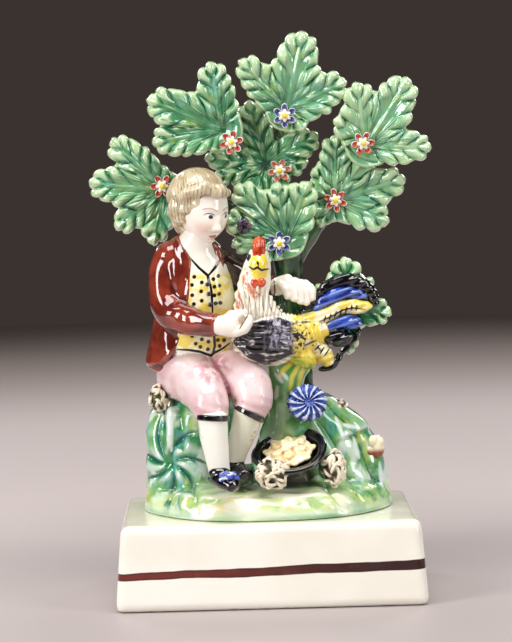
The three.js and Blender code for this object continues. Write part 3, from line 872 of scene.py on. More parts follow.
# %% Their glazes
linen = Glaze("linen_and_spotted_waistcoat", gloss=0.12, coat=0.3)
x, y, z = linen.spot()
relief = linen.noted("relief")
shirt = linen.mix(relief.fall(0.25, 0.5) * 0.4, (246, 240, 228), (214, 200, 182))
lemon = linen.mix(linen.mottle(4.5, 2).rise(0.42, 0.56), (236, 212, 96), (246, 240, 204))
lemon = linen.mix(z.rise(112.5, 115.5), lemon, (246, 240, 222))
lemon = linen.mix(linen.noted("dots").fall(-0.16, 0.16), lemon, (34, 28, 16))
dress = linen.mix(linen.noted("waistcoat").fall(-0.12, 0.12), shirt, lemon)
dress = linen.mix(linen.noted("seams").fall(-0.12, 0.12), dress, (20, 16, 18))
linen.paint(dress).on(chest)
black = Glaze("black_glaze", gloss=0.06, coat=0.8)
black.paint(black.mix(black.mottle(3, 2).rise(0.5, 0.75), (12, 10, 12), (44, 40, 46))).on(buttons)

# %% [markdown]
# The jacket is a thicker skin over the chest. Its open front isn't cut out: between the two edges
# the clay is pressed down until it passes under the waistcoat, and the edges are left as thin
# rolls. That keeps one closed skin, as on the real figure, where jacket and chest are one.

# %% The jacket's body, its open front and its sleeves
def jacket_opening(where):
    """How far each place lies inside the open front, measured across."""
    x, y, z = where.T
    left = np.interp(z, [81.4, 82.4, 86.6, 93, 103.4, 112, 119.2, 122.3, 125.6, 129.6],
                     [-42, -38, -32.4, -28.4, -26.6, -25.5, -25.2, -26.4, -28.6, -31.5])
    right = np.interp(z, [80, 90, 100, 110, 119, 123, 126], [-10, -13, -14.4, -14.8, -15.2, -16.4, -20])
    return np.minimum(x - left, right - x)


def open_front(where, out):
    inside = jacket_opening(where)
    front = ease(0, -0.45, out[:, 1])
    roll = 0.45 * bell(inside, -0.7, 0.6) - 0.35 * bell(inside, -4.4, 0.7) * ease(104, 110, where[:, 2])
    return front * (roll - 3.4 * ease(-0.2, 1.0, inside))


jacket_body = limb([
    (-29.2, 7.5, 81, 13.4, 14.6), (-28.6, 6.5, 88, 12.6, 12.8), (-26.4, 4.3, 97, 12.9, 10.9),
    (-24.6, 1.4, 106, 13.3, 10.4), (-24.6, 1.4, 117.5, 13.2, 9.7), (-24.8, 1.2, 122.6, 11, 8.2), (-25.4, 1.6, 127.6, 6.6, 5.6),
], around=72, ends=0.25)
jacket_body = knead("jacket_body", [jacket_body], grain=0.5, soften=6)
tool(jacket_body, open_front)
right_sleeve = limb([
    (-32.6, 0.8, 119.6, 6), (-34.6, -0.6, 112.6, 6.1), (-34.9, -2.8, 104.6, 5.9), (-32.4, -6.6, 100.2, 5.8),
    (-27, -11, 98.3, 5.2), (-21, -14.4, 97.2, 4.5), (-15.6, -16.5, 96.8, 4.1),
], around=40, ends=0.12)
shoulder = ball((-32.4, 0.8, 119.8), (6.3, 6.6, 6.2))
left_sleeve = limb([
    (-15.6, 1.8, 117, 6), (-8, 4.4, 111.8, 5.8), (-1, 4.6, 108.8, 5.4), (4, 2.2, 107.9, 4.6),
], around=36, ends=0.12)
left_shoulder = ball((-15.6, 1.8, 117), (6, 6, 6))
jacket = knead("jacket", [jacket_body, right_sleeve, shoulder, left_sleeve, left_shoulder], grain=0.5, soften=6)


def cloth_folds(where, out):
    x, y, z = where.T
    elbow = np.hypot(x + 28, z - 105)
    bend = np.arctan2(z - 105, x + 28)
    wrinkles = 0.2 * np.sin(bend * 7 + 0.6) * bell(elbow, 7.5, 3.2) * ease(-2, -7, y)
    sleeve = 0.3 * np.sin((x + 0.2 * z) * 0.75 + 1) * ease(101, 106, z) * ease(122, 116, z) * ease(-27, -31, x)
    skirt = 0.35 * np.sin(x * 0.8 + 0.12 * z) * ease(98, 90, z)
    cuff = 0.35 * bell(x, -17.6, 0.5) * ease(-8, -12, y)
    return wrinkles + sleeve + skirt - cuff + 0.2 * ripple(where, 10, 31)


tool(jacket, cloth_folds)
pool(jacket)
keep(jacket)
maroon = Glaze("maroon_glaze", gloss=0.07, coat=0.8)
x, y, z = maroon.spot()
relief = maroon.noted("relief")
red_brown = maroon.mix(maroon.mottle(8, 3).rise(0.4, 0.64), (100, 32, 23), (142, 56, 38))
# The jacket's side towards the bird is darkened: painted shade.
red_brown = maroon.mix(x.rise(-20, -12), red_brown, (44, 20, 20))
red_brown = maroon.mix(relief.fall(0.2, 0.46) * 0.75, red_brown, (34, 10, 12))
red_brown = maroon.mix(relief.rise(0.6, 0.95) * 0.7, red_brown, (164, 84, 62))
maroon.paint(red_brown, bump=maroon.mottle(5, 2), strength=0.08, gap=0.3).on(jacket)

# %% [markdown]
# The hands were left the colour of the clay. The right one holds the bird's breast, with the thumb
# in front; the left one lies over its back with the fingers hanging down.

# %% The hands
right_hand = knead("right_hand", [
    limb([(-17, -16.4, 96.8, 3.2), (-14, -18.2, 96.8, 3.9, 3.4), (-10.4, -19.6, 96.9, 4.2, 3.2)], around=20),
    ball((-11, -19, 95.6), (3.8, 3, 3)),
    limb([(-14, -19, 99, 1.4), (-11.8, -18.6, 101, 1.3), (-9.6, -17.4, 100.8, 1.2)], around=12),
    limb([(-12.4, -19.8, 99.4, 1.4), (-10.2, -19.2, 101.2, 1.3), (-8, -17.8, 101.2, 1.2)], around=12),
    limb([(-11, -20.2, 98.8, 1.4), (-8.6, -19.8, 100.8, 1.3), (-6.6, -18.4, 101.4, 1.2)], around=12),
    limb([(-10.6, -20.6, 94.6, 1.9), (-7.4, -21.4, 95.6, 1.9), (-5.6, -21.2, 98, 1.6), (-5.6, -20.4, 100, 1.3)], around=14),
], grain=0.35, soften=2)
left_hand = knead("left_hand", [
    limb([(4.6, 1.4, 108.4, 3.2), (6.4, -0.9, 109.2, 3.4), (9, -2.6, 109.6, 3.8, 3)], around=20),
    ball((9.4, -2.8, 109.6), (4.6, 2.8, 2.6)),
    limb([(6, -3, 110, 1.7), (7.8, -5.8, 108.2, 1.7), (8.6, -6.6, 105.2, 1.4)], around=14),
    limb([(8.4, -3, 110.6, 1.7), (10.2, -6, 108.4, 1.7), (10.8, -6.8, 104.2, 1.4)], around=14),
    limb([(10.6, -3, 110.8, 1.7), (12.5, -5.8, 108.2, 1.7), (13, -6.4, 103.2, 1.4)], around=14),
    limb([(12.8, -2.5, 110.2, 1.6), (14.7, -5.2, 107.4, 1.6), (15, -5.8, 102.6, 1.3)], around=14),
    limb([(14.4, -1.5, 109.6, 1.8), (16.8, -4, 107.4, 1.9), (16.8, -4.6, 104.2, 1.6)], around=14),
], grain=0.35, soften=2)
for hand, between in ((right_hand, [[(-5.9, 100.6), (-7.4, 98.4), (-9, 95.9)]]), (left_hand, [[(3.6, 104.8), (4, 107), (3.8, 111)]])):
    ink(hand, "between", between, 0.28)
    pool(hand, rounds=10, reach=0.2)
    keep(hand)
skin = Glaze("bare_clay_skin", gloss=0.12, coat=0.3)
relief = skin.noted("relief")
flesh = skin.mix(relief.fall(0.2, 0.48) * 0.55, (244, 236, 222), (196, 164, 138))
skin.paint(skin.mix(skin.noted("between").fall(-0.15, 0.2), flesh, (108, 62, 38))).on(right_hand, left_hand)

# %% [markdown]
# The breeches are two rolls that meet in the lap and end above the calves in black garters. The
# stockings are plain and nearly straight. The shoes are black, each with a rosette on top.

# %% Breeches
breeches = knead("breeches", [
    limb([(-29, 6, 78, 10.2), (-25.6, -7, 77.2, 9.2), (-22.2, -15.6, 74.4, 8.2), (-20, -21.4, 70.4, 6.9), (-19, -24, 65.2, 5.4)],
         around=40, across=(1, 0, 0), ends=0.3),
    limb([(-16.5, 6, 78.5, 9.6), (-11, -6, 78, 8.6), (-6, -13.8, 75.2, 7.9), (-4.4, -17.4, 70.8, 7), (-5.9, -18.9, 66, 5.4)],
         around=40, across=(1, 0, 0), ends=0.3),
    ball((-23.5, 7, 77), (15.4, 11, 9.4), around=40, rings=28),
], grain=0.5, soften=4)


def lap_folds(where, out):
    x, y, z = where.T
    lap = np.hypot(x + 18.4, z - 83)
    heading = np.arctan2(z - 83, x + 18.4)
    pulls = 0.28 * np.sin(heading * 8 + 1) * bell(lap, 6, 3.4)
    under_knee = 0.2 * np.sin(z * 1.4 + x * 0.6) * bell(z, 68.5, 2.6) * ease(-14, -18, y)
    return (pulls + under_knee) * ease(0.3, -0.2, out[:, 1]) + 0.22 * ripple(where, 11, 41)


tool(breeches, lap_folds)
pool(breeches)
keep(breeches)
pink = Glaze("breeches_glaze", gloss=0.28, coat=0.2)
x, y, z = pink.spot()
relief = pink.noted("relief")
lap = (((x + 18.5) ** 2 + (z - 82.5) ** 2) ** 0.5).fall(2, 8)
rose = pink.mix(pink.mottle(9, 3).rise(0.4, 0.62), (232, 208, 206), (222, 188, 190))
rose = pink.mix(relief.fall(0.24, 0.5) * 0.8, rose, (178, 104, 116))
# Mottled deeper pink in the lap between the thighs: partly painted fold lines, partly painted shade.
rose = pink.mix(lap * pink.mottle(3, 2).rise(0.46, 0.6) * 0.7, rose, (186, 104, 118))
# Darker pink low on the legs, under the knees: painted shade.
rose = pink.mix(z.fall(66, 76) * 0.3, rose, (206, 150, 158))
rose = pink.mix(pink.mottle(1.3, 1).rise(0.7, 0.76) * 0.5, rose, (160, 100, 104))
pink.paint(rose).on(breeches)

# %% Garters, stockings and shoes
garters = joined("garters", [
    limb([(-18.9, -24.2, 66.2, 5.75), (-19, -24.3, 64.7, 5.7)], around=40, across=(1, 0, 0), ends=0.12),
    limb([(-5.9, -18.9, 66.6, 5.7), (-6.6, -19, 65.3, 5.6)], around=40, across=(1, 0, 0), ends=0.12),
])
stockings = joined("stockings", [
    limb([(-19, -24.2, 66, 5.2), (-18.9, -24.6, 60, 5.05), (-18.1, -24.8, 53.6, 4.4), (-17.3, -24.8, 47.6, 3.8), (-17, -25, 44.6, 3.6)],
         around=32, across=(1, 0, 0)),
    limb([(-6.4, -19, 66.6, 5.2), (-8.2, -18.4, 60.4, 4.8), (-10.8, -17.4, 53.2, 3.9), (-12.2, -16.8, 48, 3.4)],
         around=32, across=(1, 0, 0)),
])
shoes = knead("shoes", [
    limb([(-18.6, -21.4, 44.2, 3.4, 3.2), (-16.8, -26.6, 44.6, 3.6, 3.9), (-14.6, -30.4, 43.6, 2.9, 3.8), (-12.2, -33.2, 42.7, 2.2, 3)],
         around=24, across=(1, 0, 0)),
    ball((-17.1, -27.4, 46.6), (3.9, 2.6, 2.2)),
    limb([(-13.4, -14.5, 45.4, 3.2), (-10.8, -18.4, 45.8, 3.4, 3.6), (-8, -22.8, 44.6, 2.6, 3.2)], around=24, across=(1, 0, 0)),
    ball((-11.8, -18, 48.6), (3.4, 2.6, 2)),
], grain=0.4, soften=3)
rosette_of_shoe = knead("shoe_rosette", [
    ball((-14 + 2.4 * math.cos(k * TURN / 7), -32.2, 45.6 + 1.5 * math.sin(k * TURN / 7)), (1.35, 1.3, 0.95), turn=51 * k)
    for k in range(7)
] + [ball((-14, -33, 45.8), (1.4, 1.2, 1.1))], grain=0.3, soften=1)
ink(stockings, "smudges", [
    [(-24.2, 63.4), (-23.8, 61.6)], [(-23.9, 60.6), (-23.1, 58.6)], [(-3.9, 60.4), (-5.6, 58.2)], [(-5.4, 57.2), (-6.2, 56)],
], 0.45)
pool(rosette_of_shoe, rounds=8, reach=0.2)
for piece in (garters, stockings, shoes, rosette_of_shoe):
    keep(piece)
wool = Glaze("stocking_glaze", gloss=0.16, coat=0.2)
x, y, z = wool.spot()
# The far (left) stocking is given a darker cream than the near one: painted shade.
cream = wool.mix(x.rise(-13, -10), (244, 242, 230), (226, 224, 200))
cream = wool.mix(wool.noted("smudges").fall(-0.5, 0.4) * wool.mottle(1.1, 2).rise(0.44, 0.56) * 0.8, cream, (96, 74, 66))
wool.paint(cream).on(stockings)
black.on(garters, shoes)
blue_white = Glaze("blue_and_white_glaze", gloss=0.08, coat=0.6)
relief = blue_white.noted("relief")
blue = blue_white.mix(relief.rise(0.46, 0.72), (24, 40, 128), (72, 96, 190))
blue = blue_white.mix(blue_white.mottle(1.6, 2, stretch=(2.5, 1, 1)).rise(0.56, 0.64), blue, (226, 230, 240))
blue_white.paint(blue).on(rosette_of_shoe)

# %% [markdown]
# The head is bowed and turned to the bird. Its face is a plain, calm one laid out by the rule of
# thirds: brow, foot of the nose and chin stand one third of the face apart, the eyes are one eye
# apart, and the mouth lies a third of the way from nose to chin. It is worked in the head's own
# directions: across, forwards and up.

# %% The head's directions
HEAD = {"at": np.array([-20.4, -3.4, 135.8]), "turn": 37, "bow": 17}
turned, bowed = math.radians(HEAD["turn"]), math.radians(HEAD["bow"])
level = np.array([math.sin(turned), -math.cos(turned), 0])
ACROSS = np.array([math.cos(turned), math.sin(turned), 0])
AHEAD = level * math.cos(bowed) - np.array([0, 0, math.sin(bowed)])
UPWARD = np.cross(AHEAD, ACROSS)
print("head looks towards", AHEAD.round(2), "and its crown points", UPWARD.round(2))
EYE = {"apart": 3.4, "up": 1.2, "half": 1.7, "open": 0.92}

# %% The face
face, ring, angle = sphere_grid(150, 110)
unit = points(face)
side, front, up = unit.T
jaw = 1 - 0.3 * np.clip(-up, 0, 1) ** 1.6
side, front, up = 8.2 * side * jaw, 9.1 * front * (1 - 0.06 * np.clip(-up, 0, 1)), 11.4 * up
to_face = ease(1.5, 5, front)
apart = np.abs(side)
nose = 1.2 * bell(side, 0, 1.1) * ease(3.2, -2.6, up) * ease(-4.7, -3.9, up)
nose += 1.2 * bell(side, 0, 1.5) * bell(up, -3.1, 1.2) + 0.45 * bell(apart, 1.35, 0.7) * bell(up, -3.6, 0.8)
brows = 0.4 * bell(up, 3.3, 0.9) * bell(apart, 3.4, 2.6) - 0.3 * bell(side, 0, 1.4) * bell(up, 1.6, 1)
sockets = -0.75 * bell(apart, EYE["apart"], 2) * bell(up, EYE["up"] + 0.2, 1.7)
eyes = 0.6 * bell(apart, EYE["apart"], 1.3) * bell(up, EYE["up"], 0.95)
lids = 0.25 * bell(up - EYE["up"], 0.85, 0.3) * bell(apart, EYE["apart"], 1.5)
cheeks = 0.6 * bell(apart, 4.6, 2.6) * bell(up, -3.4, 3)
lips = 0.55 * bell(side, 0, 1.8) * bell(up, -5.95, 0.55) + 0.65 * bell(side, 0, 1.5) * bell(up, -7.1, 0.6)
lips += -0.4 * bell(side, 0, 2.1) * bell(up, -6.5, 0.25) - 0.45 * bell(side, 0, 2) * bell(up, -8.2, 0.7)
chin = 0.9 * bell(side, 0, 2.4) * bell(up, -9.7, 1.8)
front = front + to_face * (nose + brows + sockets + eyes + lids + cheeks + lips + chin)
place(face, HEAD["at"] + side[:, None] * ACROSS + front[:, None] * AHEAD + up[:, None] * UPWARD)
face.name = face.data.name = "face"
note(face, "across", side)
note(face, "ahead", front)
note(face, "upward", up)
pool(face, rounds=12, reach=0.25)
keep(face)

# %% The face's paint
blush = Glaze("face_glaze", gloss=0.2, coat=0.3)
side, up, relief = blush.noted("across"), blush.noted("upward"), blush.noted("relief")
seen = blush.noted("ahead").rise(3.5, 5)
q = (side.size() - EYE["apart"]) / EYE["half"]
open_eye = (1 - q * q).most(0) ** 0.5
ivory = blush.mix(relief.fall(0.2, 0.46) * 0.35, (250, 240, 228), (222, 190, 170))
cheek = ((side.size() - 4.7) ** 2 + (up + 3.3) ** 2) ** 0.5
ivory = blush.mix(cheek.fall(0.5, 3.6) * 0.42 * seen, ivory, (240, 184, 158))
lip = ((side / 1.75) ** 2 + ((up + 6.55) / 0.85) ** 2) ** 0.5
ivory = blush.mix(lip.fall(0.75, 1.05) * seen * 0.85, ivory, (206, 100, 88))
mouth = (up + 6.5 - side * side * 0.05).size().fall(0.06, 0.2) * side.size().fall(1.3, 1.9)
ivory = blush.mix(mouth * seen * 0.8, ivory, (104, 40, 36))
eye_white = (up - EYE["up"]).size() - open_eye * EYE["open"]
ivory = blush.mix(eye_white.fall(-0.1, 0.06) * seen, ivory, (246, 246, 242))
iris = ((side.size() - EYE["apart"] - side.rise(-0.1, 0.1) * 0.7 + 0.35) ** 2 + (up - EYE["up"] + 0.22) ** 2) ** 0.5
iris_seen = seen * eye_white.fall(-0.1, 0.06)
ivory = blush.mix(iris.fall(0.72, 0.86) * iris_seen, ivory, (84, 66, 58))
ivory = blush.mix(iris.fall(0.3, 0.44) * iris_seen, ivory, (14, 12, 14))
lid = (up - EYE["up"] - open_eye * EYE["open"] - 0.04).size().fall(0.1, 0.24) * q.size().fall(0.96, 1.1)
ivory = blush.mix(lid * seen, ivory, (62, 42, 36))
brow = (up - 3.95 + q * q * 0.42).size().fall(0.08, 0.34) * q.size().fall(1.1, 1.5)
ivory = blush.mix(brow * seen * 0.6, ivory, (140, 108, 80))
blush.paint(ivory).on(face)

# %% [markdown]
# The hair is short, fair and wavy. Rolls of clay make the fringe, the side curls and the nape, and
# a toothed tool draws strands from the crown outwards. A thin brown wash stays in the grooves.

# %% The hair
CROWN = UPWARD * 0.9 - AHEAD * 0.4
hair = knead("hair", [
    ball((-22.6, -0.8, 141), (10.5, 10.8, 10.7), around=48, rings=32),
    limb([(-28.6, -7.6, 140.6, 2), (-25, -10.6, 143.2, 2.3), (-19.4, -12.6, 144.4, 2.4), (-14.6, -11.8, 143.4, 2.2), (-11.8, -8, 142, 1.8)]),
    limb([(-28.8, -6, 142, 3), (-29.4, -5.2, 137.6, 3), (-28.8, -4.6, 133.8, 2.8)]),
    limb([(-27, -8, 140, 2), (-27.6, -7.4, 136.6, 2.2), (-27, -6.6, 133.6, 1.9)]),
    limb([(-29.2, 0, 138, 3.6), (-29.4, 0, 133.4, 3.4), (-27, 0.6, 129.8, 2.8)]),
    ball((-25.6, 1.4, 130.6), (4.6, 5, 3.6)),
    ball((-21.6, 4, 134), (7.4, 6, 6)),
], grain=0.45, soften=4)


def about_crown(where):
    out = where - (-22.6, -1, 138.6)
    out = out / np.linalg.norm(out, axis=1)[:, None]
    c = CROWN / np.linalg.norm(CROWN)
    first = np.cross(c, (0, 1, 0))
    first /= np.linalg.norm(first)
    fall = np.arccos(np.clip(out @ c, -1, 1))
    return fall, np.arctan2(out @ np.cross(c, first), out @ first)


def strands(where, out):
    fall, round_crown = about_crown(where)
    waves = 0.3 * np.sin(fall * 12 + 1.6 * np.sin(round_crown * 4)) * ease(0.7, 1.2, fall)
    locks = 0.26 * np.cos(round_crown * 11 + 1.6 * np.sin(fall * 5)) * ease(0.3, 0.9, fall)
    fine = 0.07 * np.cos(round_crown * 52 + 2.6 * np.sin(fall * 6 + round_crown * 3)) * ease(0.1, 0.4, fall)
    return waves + locks + fine


tool(hair, strands)
fall, round_crown = about_crown(points(hair))
note(hair, "strand", 0.5 + 0.5 * np.cos(round_crown * 52 + 2.6 * np.sin(fall * 6 + round_crown * 3)))
pool(hair, rounds=12, reach=0.3)
keep(hair)
fair = Glaze("hair_glaze", gloss=0.14, coat=0.4)
relief = fair.noted("relief")
lock = fair.mix(fair.mottle(7, 2).rise(0.4, 0.62), (206, 190, 158), (178, 158, 124))
lock = fair.mix(fair.noted("strand").fall(0.05, 0.45) * fair.mottle(3.4, 2, shift=3.0).rise(0.4, 0.56) * 0.8, lock, (132, 108, 80))
lock = fair.mix(relief.fall(0.15, 0.46) * 0.7, lock, (104, 82, 56))
fair.paint(fair.mix(relief.rise(0.62, 0.95) * 0.6, lock, (238, 228, 202))).on(hair)

# %% [markdown]
# ## The cockerel
# The bird stands on the stump and leans its breast on the boy's hand. Body and neck are one skin.
# Long grooves run down the neck for the hackle feathers and short ones along the wing, then the
# tail is laid on as flat plumes, each painted before the next one overlaps it.

# %% Body and neck
bird = knead("cock_body", [
    limb([(-9, -10.2, 91, 4.6, 5), (-5, -9.4, 90.5, 8, 8), (2, -7, 90.6, 9.8, 9), (9, -5, 91, 8.6, 8.4), (15, -3.6, 91.8, 6.8, 6.4), (20.5, -3, 93.4, 4, 4)],
         around=44),
    limb([(-0.5, -8, 93, 10.4, 8.4), (-3, -9, 100, 8.4, 7.4), (-4.2, -9.8, 106.4, 6, 6), (-3, -10, 112.6, 5.4, 5.4), (-2, -10, 117, 4.8, 4.8), (-1.3, -9.8, 121.4, 3.5, 4)],
         around=44),
    ball((-2, -13.2, 117), (3.4, 2.6, 4)),
    limb([(10, -8, 86.6, 4), (14.4, -7.6, 83.4, 3.6), (16.2, -6.6, 81.4, 2.4)]),
], grain=0.5, soften=3)


def feathers(where, out):
    x, y, z = where.T
    hackle = 0.34 * np.sin((x + 3 + 0.06 * (112 - z) * (x + 3)) * 2.6 + 0.25 * np.sin(z * 0.9))
    on_neck = ease(96, 101, z) * ease(114, 109, z)
    wing = 0.3 * np.sin((z + 0.18 * x) * 3.4 + 0.8 * np.sin(x * 1.1)) * ease(97, 95, z) * ease(81, 84, z) * ease(15, 12, x)
    rim = patch_gap(where[:, [0, 2]], WING)
    raised = 0.7 * ease(0.4, -0.6, rim) - 0.3 * bell(rim, 0.8, 0.5)
    tufts = 0.3 * np.sin(x * 2.2 + 0.5 * z) * ease(9, 12, x)
    return (hackle * on_neck + (wing + raised + tufts) * ease(0.2, -0.2, out[:, 1])) + 0.12 * ripple(where, 5, 51)


WING = [
    (-5.5, 97.1), (-1, 98.5), (5, 99), (10.4, 96.6), (14.8, 93), (13.2, 87), (6.2, 84.2), (0.1, 81.8),
    (-6.3, 84.8), (-12, 90.6),
]
tool(bird, feathers)
patch(bird, "wing", WING)
ink(bird, "hackles", [
    [(-4.9 + 2.15 * k, 107.6 - 0.5 * k), (-5.6 + 2.5 * k, 104 - 0.4 * k), (-5.8 + 3 * k, 99.6 + 0.12 * k)] for k in range(5)
] + [[(-8.2, 106), (-7.4, 103), (-7.8, 100.6)], [(-6.9, 108.4), (-6.2, 105.6)]], 0.22)
ink(bird, "flames", [
    [(-7.2, 113.4), (-6.4, 109.6)], [(-6.2, 116), (-6, 112.6)], [(-8.6, 107.6), (-9.4, 103.2)], [(-4.4, 108.8), (-3.4, 106)],
    [(-1.6, 109.2), (-1.2, 107)], [(-9.6, 101.6), (-8.8, 104.4)], [(-5.3, 110.8), (-4.6, 107.6)], [(-2.8, 110), (-2.2, 106.6)],
], 0.75)
ink(bird, "beak", [[(-5, 116.8), (-3.6, 115.9), (-2.2, 116.6), (-0.8, 115.6), (1.8, 115.9)], [(-2.2, 118.6), (-1.8, 117.4)]], 0.42)
patch(bird, "bill", [(-3.8, 121), (0.6, 121), (1.9, 117), (0.9, 113), (-2, 112), (-4.9, 114), (-4.9, 117.4)])
ink(bird, "specks", [[at] for at in (
    (12.4, 95.6), (14.6, 94.4), (13, 92.8), (15.6, 92.6), (14, 90.8), (16.4, 90.8), (12.6, 89.4), (15, 88.8), (17.6, 95.4),
    (11.6, 97), (16.8, 88.2), (13.4, 87.2),
)] + [[(8.8, 84.4), (12.4, 84.2)], [(11, 96.6), (16, 96.4)], [(13.6, 88.4), (18, 90)]], 0.38)
pool(bird, rounds=12, reach=0.3)
keep(bird)

# %% Comb, wattle and eye
comb = knead("comb_and_wattle", [
    limb([(-1.7, -11.4, 120.8, 2.5, 3), (-1.5, -11.6, 124, 2.5, 2.9), (-1.1, -11.6, 126.4, 1.7, 2)]),
    ball((-3.4, -14.6, 111), (1.7, 1.6, 2)),
    ball((-0.9, -14.6, 111.2), (1.7, 1.6, 1.7)),
], grain=0.35, soften=2)
tool(comb, lambda where, out: 0.2 * np.sin(where[:, 0] * 3.4) * ease(119, 121, where[:, 2]))
pool(comb, rounds=8, reach=0.2)
keep(comb)
eye = keep(joined("cock_eye", [ball((-5.1, -12.9, 120), (0.85, 0.7, 1.35), around=16, rings=12)]))

# %% [markdown]
# The bird's white slip shows everywhere between the colours. On it stand grey-brown hackles,
# rust-red flames, a yellow bill and a wing of broken black over lavender, which turns to yellow
# with black specks on the rump.

# %% The bird's paint
plumage = Glaze("plumage_glaze", gloss=0.1, coat=0.5)
x, y, z = plumage.spot()
relief = plumage.noted("relief")
slip = plumage.mix(relief.fall(0.2, 0.48) * 0.5, (244, 236, 216), (170, 146, 122))
flame = plumage.noted("flames").fall(-0.5, 0.5) * plumage.mottle(1.8, 2).rise(0.36, 0.5)
slip = plumage.mix(flame * 0.85, slip, (206, 92, 44))
slip = plumage.mix(plumage.noted("hackles").fall(-0.12, 0.2) * 0.85, slip, (92, 76, 66))
yellow_rump = x.rise(8.5, 11) * z.fall(99, 100.5) * plumage.mottle(4, 2).rise(0.32, 0.5)
slip = plumage.mix(yellow_rump, slip, (240, 210, 84))
strokes = plumage.mottle(1.5, 3, stretch=(3.2, 1, 1))
dark = plumage.mix(strokes.rise(0.5, 0.6), (20, 17, 20), (86, 82, 92))
dark = plumage.mix(strokes.rise(0.6, 0.68), dark, (226, 218, 210))
lavender = plumage.mix(plumage.mottle(1.4, 3, stretch=(1, 1, 2)).rise(0.46, 0.6), (52, 50, 62), (176, 168, 190))
middle = x.rise(-1.5, 1.5) * x.fall(9, 12) * z.rise(86.5, 90)
dark = plumage.mix(middle * 0.75, dark, lavender)
flecked = plumage.mix(plumage.mottle(1.6, 2, stretch=(1.6, 1, 1), shift=3.0).rise(0.5, 0.56), (238, 214, 104), (30, 26, 26))
dark = plumage.mix(x.rise(8.5, 11.5), dark, flecked)
coat = plumage.mix(plumage.noted("wing").fall(-0.5, 0.5), slip, dark)
coat = plumage.mix(plumage.noted("specks").fall(-0.15, 0.2) * 0.9, coat, (26, 22, 22))
coat = plumage.mix(plumage.noted("bill").fall(-0.3, 0.3) * plumage.mottle(3, 2).rise(0.3, 0.44), coat, (244, 212, 72))
coat = plumage.mix(plumage.noted("beak").fall(-0.12, 0.15), coat, (18, 14, 14))
thigh = z.fall(83.5, 86) * x.rise(7, 10)
coat = plumage.mix(thigh, coat, plumage.mix(plumage.mottle(3, 2).rise(0.42, 0.6), (232, 206, 60), (160, 186, 70)))
plumage.paint(coat).on(bird)
scarlet = Glaze("scarlet_glaze", gloss=0.08, coat=0.6)
relief = scarlet.noted("relief")
red = scarlet.mix(scarlet.mottle(2.4, 2).rise(0.42, 0.62), (178, 44, 22), (214, 92, 52))
scarlet.paint(scarlet.mix(relief.fall(0.25, 0.5) * 0.6, red, (110, 20, 14))).on(comb)
black.on(eye)

# %% [markdown]
# The tail spreads behind. A black sickle curves over the top, then come a blue plume, a pale one
# with a stitched black line, another blue one, a black lobe and a yellow one edged with black.

# %% The tail
def plume(name, stations, lift=0.0):
    made = knead(name, [limb([(x, y - lift, z, half, deep) for x, y, z, half, deep in stations], around=24)], grain=0.42, soften=2)
    tool(made, lambda where, out: 0.2 * np.sin((where[:, 2] - 0.35 * where[:, 0]) * 2.6) * ease(0.2, -0.3, out[:, 1]))
    pool(made, rounds=10, reach=0.22)
    return keep(made)


sickle = plume("black_sickle", [
    (17.6, -2.4, 98.6, 1, 1.6), (18.6, -2, 103, 1.6, 2), (21, -2, 107, 2.3, 2.2), (26, -2, 110.2, 2.5, 2.4),
    (31, -2, 110.6, 2.6, 2.4), (35.8, -2, 108.4, 2.7, 2.4), (38.9, -2, 104.6, 2.2, 2.2), (39.6, -2, 101.4, 1.4, 1.8),
])
upper_blue = plume("upper_blue_plume", [
    (17.6, -3, 98.8, 1, 1.8), (20.4, -3, 102.2, 2.5, 2.2), (24.4, -3, 105, 2.9, 2.4), (29, -3, 106.2, 2.4, 2.2), (33.6, -3, 105.6, 1.8, 2), (36.8, -3, 103.9, 0.8, 1.6),
])
pale = plume("pale_plume", [
    (13, -4, 96.6, 2.4, 3), (18.6, -3.8, 97.4, 2.8, 2.8), (23, -3.8, 98.9, 2.6, 2.6), (27, -3.8, 101, 2.5, 2.4),
    (31, -3.6, 101.3, 2.6, 2.4), (34.6, -3.4, 100.9, 2.7, 2.2), (38.2, -3, 101.4, 1, 1.6),
])
lower_blue = plume("lower_blue_plume", [
    (21, -3.2, 93.2, 1.4, 2.2), (24.6, -3.4, 95.2, 2.2, 2.6), (28.4, -3.6, 95.8, 2.7, 2.8), (32, -3.4, 95.6, 2.6, 2.6), (34, -3, 95.2, 1.4, 2),
])
black_lobe = plume("black_lobe", [
    (21, -3.4, 90.6, 1.6, 2.2), (24.4, -3.8, 89.8, 2.9, 2.8), (28, -3.8, 89.9, 2.7, 2.8), (31, -3.4, 90.7, 1.2, 2),
])
yellow_lobe = plume("yellow_lobe", [
    (15.4, -5, 90, 2.6, 2.6), (18.4, -4.6, 86.6, 3.3, 2.8), (21.2, -4.4, 83.8, 3.4, 2.8), (22.6, -4, 81.6, 2.2, 2.2),
])
black_edge = plume("black_edge", [
    (33.8, -1.6, 93.4, 0.8, 1.4), (32.6, -1.6, 90, 1, 1.6), (29.6, -1.8, 87, 1.1, 1.8), (26.6, -2, 84, 1.2, 1.8), (25.6, -2.2, 81.6, 1.3, 1.8), (23, -2.4, 79.6, 1.2, 1.8), (18.8, -2.8, 78.9, 0.8, 1.6),
])
ink(pale, "stitches", [
    [(19.6, 96.4), (24.5, 98.5), (27.6, 100.2), (31.1, 100.9), (35.6, 100.2)],
] + [[(21 + 1.9 * k, 96.1 + 0.75 * k), (21.6 + 1.9 * k, 98.3 + 0.72 * k)] for k in range(5)]
    + [[(30.6 + 1.8 * k, 99.9), (31 + 1.8 * k, 101.9)] for k in range(2)], 0.3)
ink(yellow_lobe, "stitches", [
    [(17.4, 86.4), (19.4, 88.2)], [(19.2, 84.8), (20.8, 87.4)], [(20.8, 84.2), (22.6, 86.6)], [(19.8, 85.8), (18.4, 87.8)],
], 0.26)

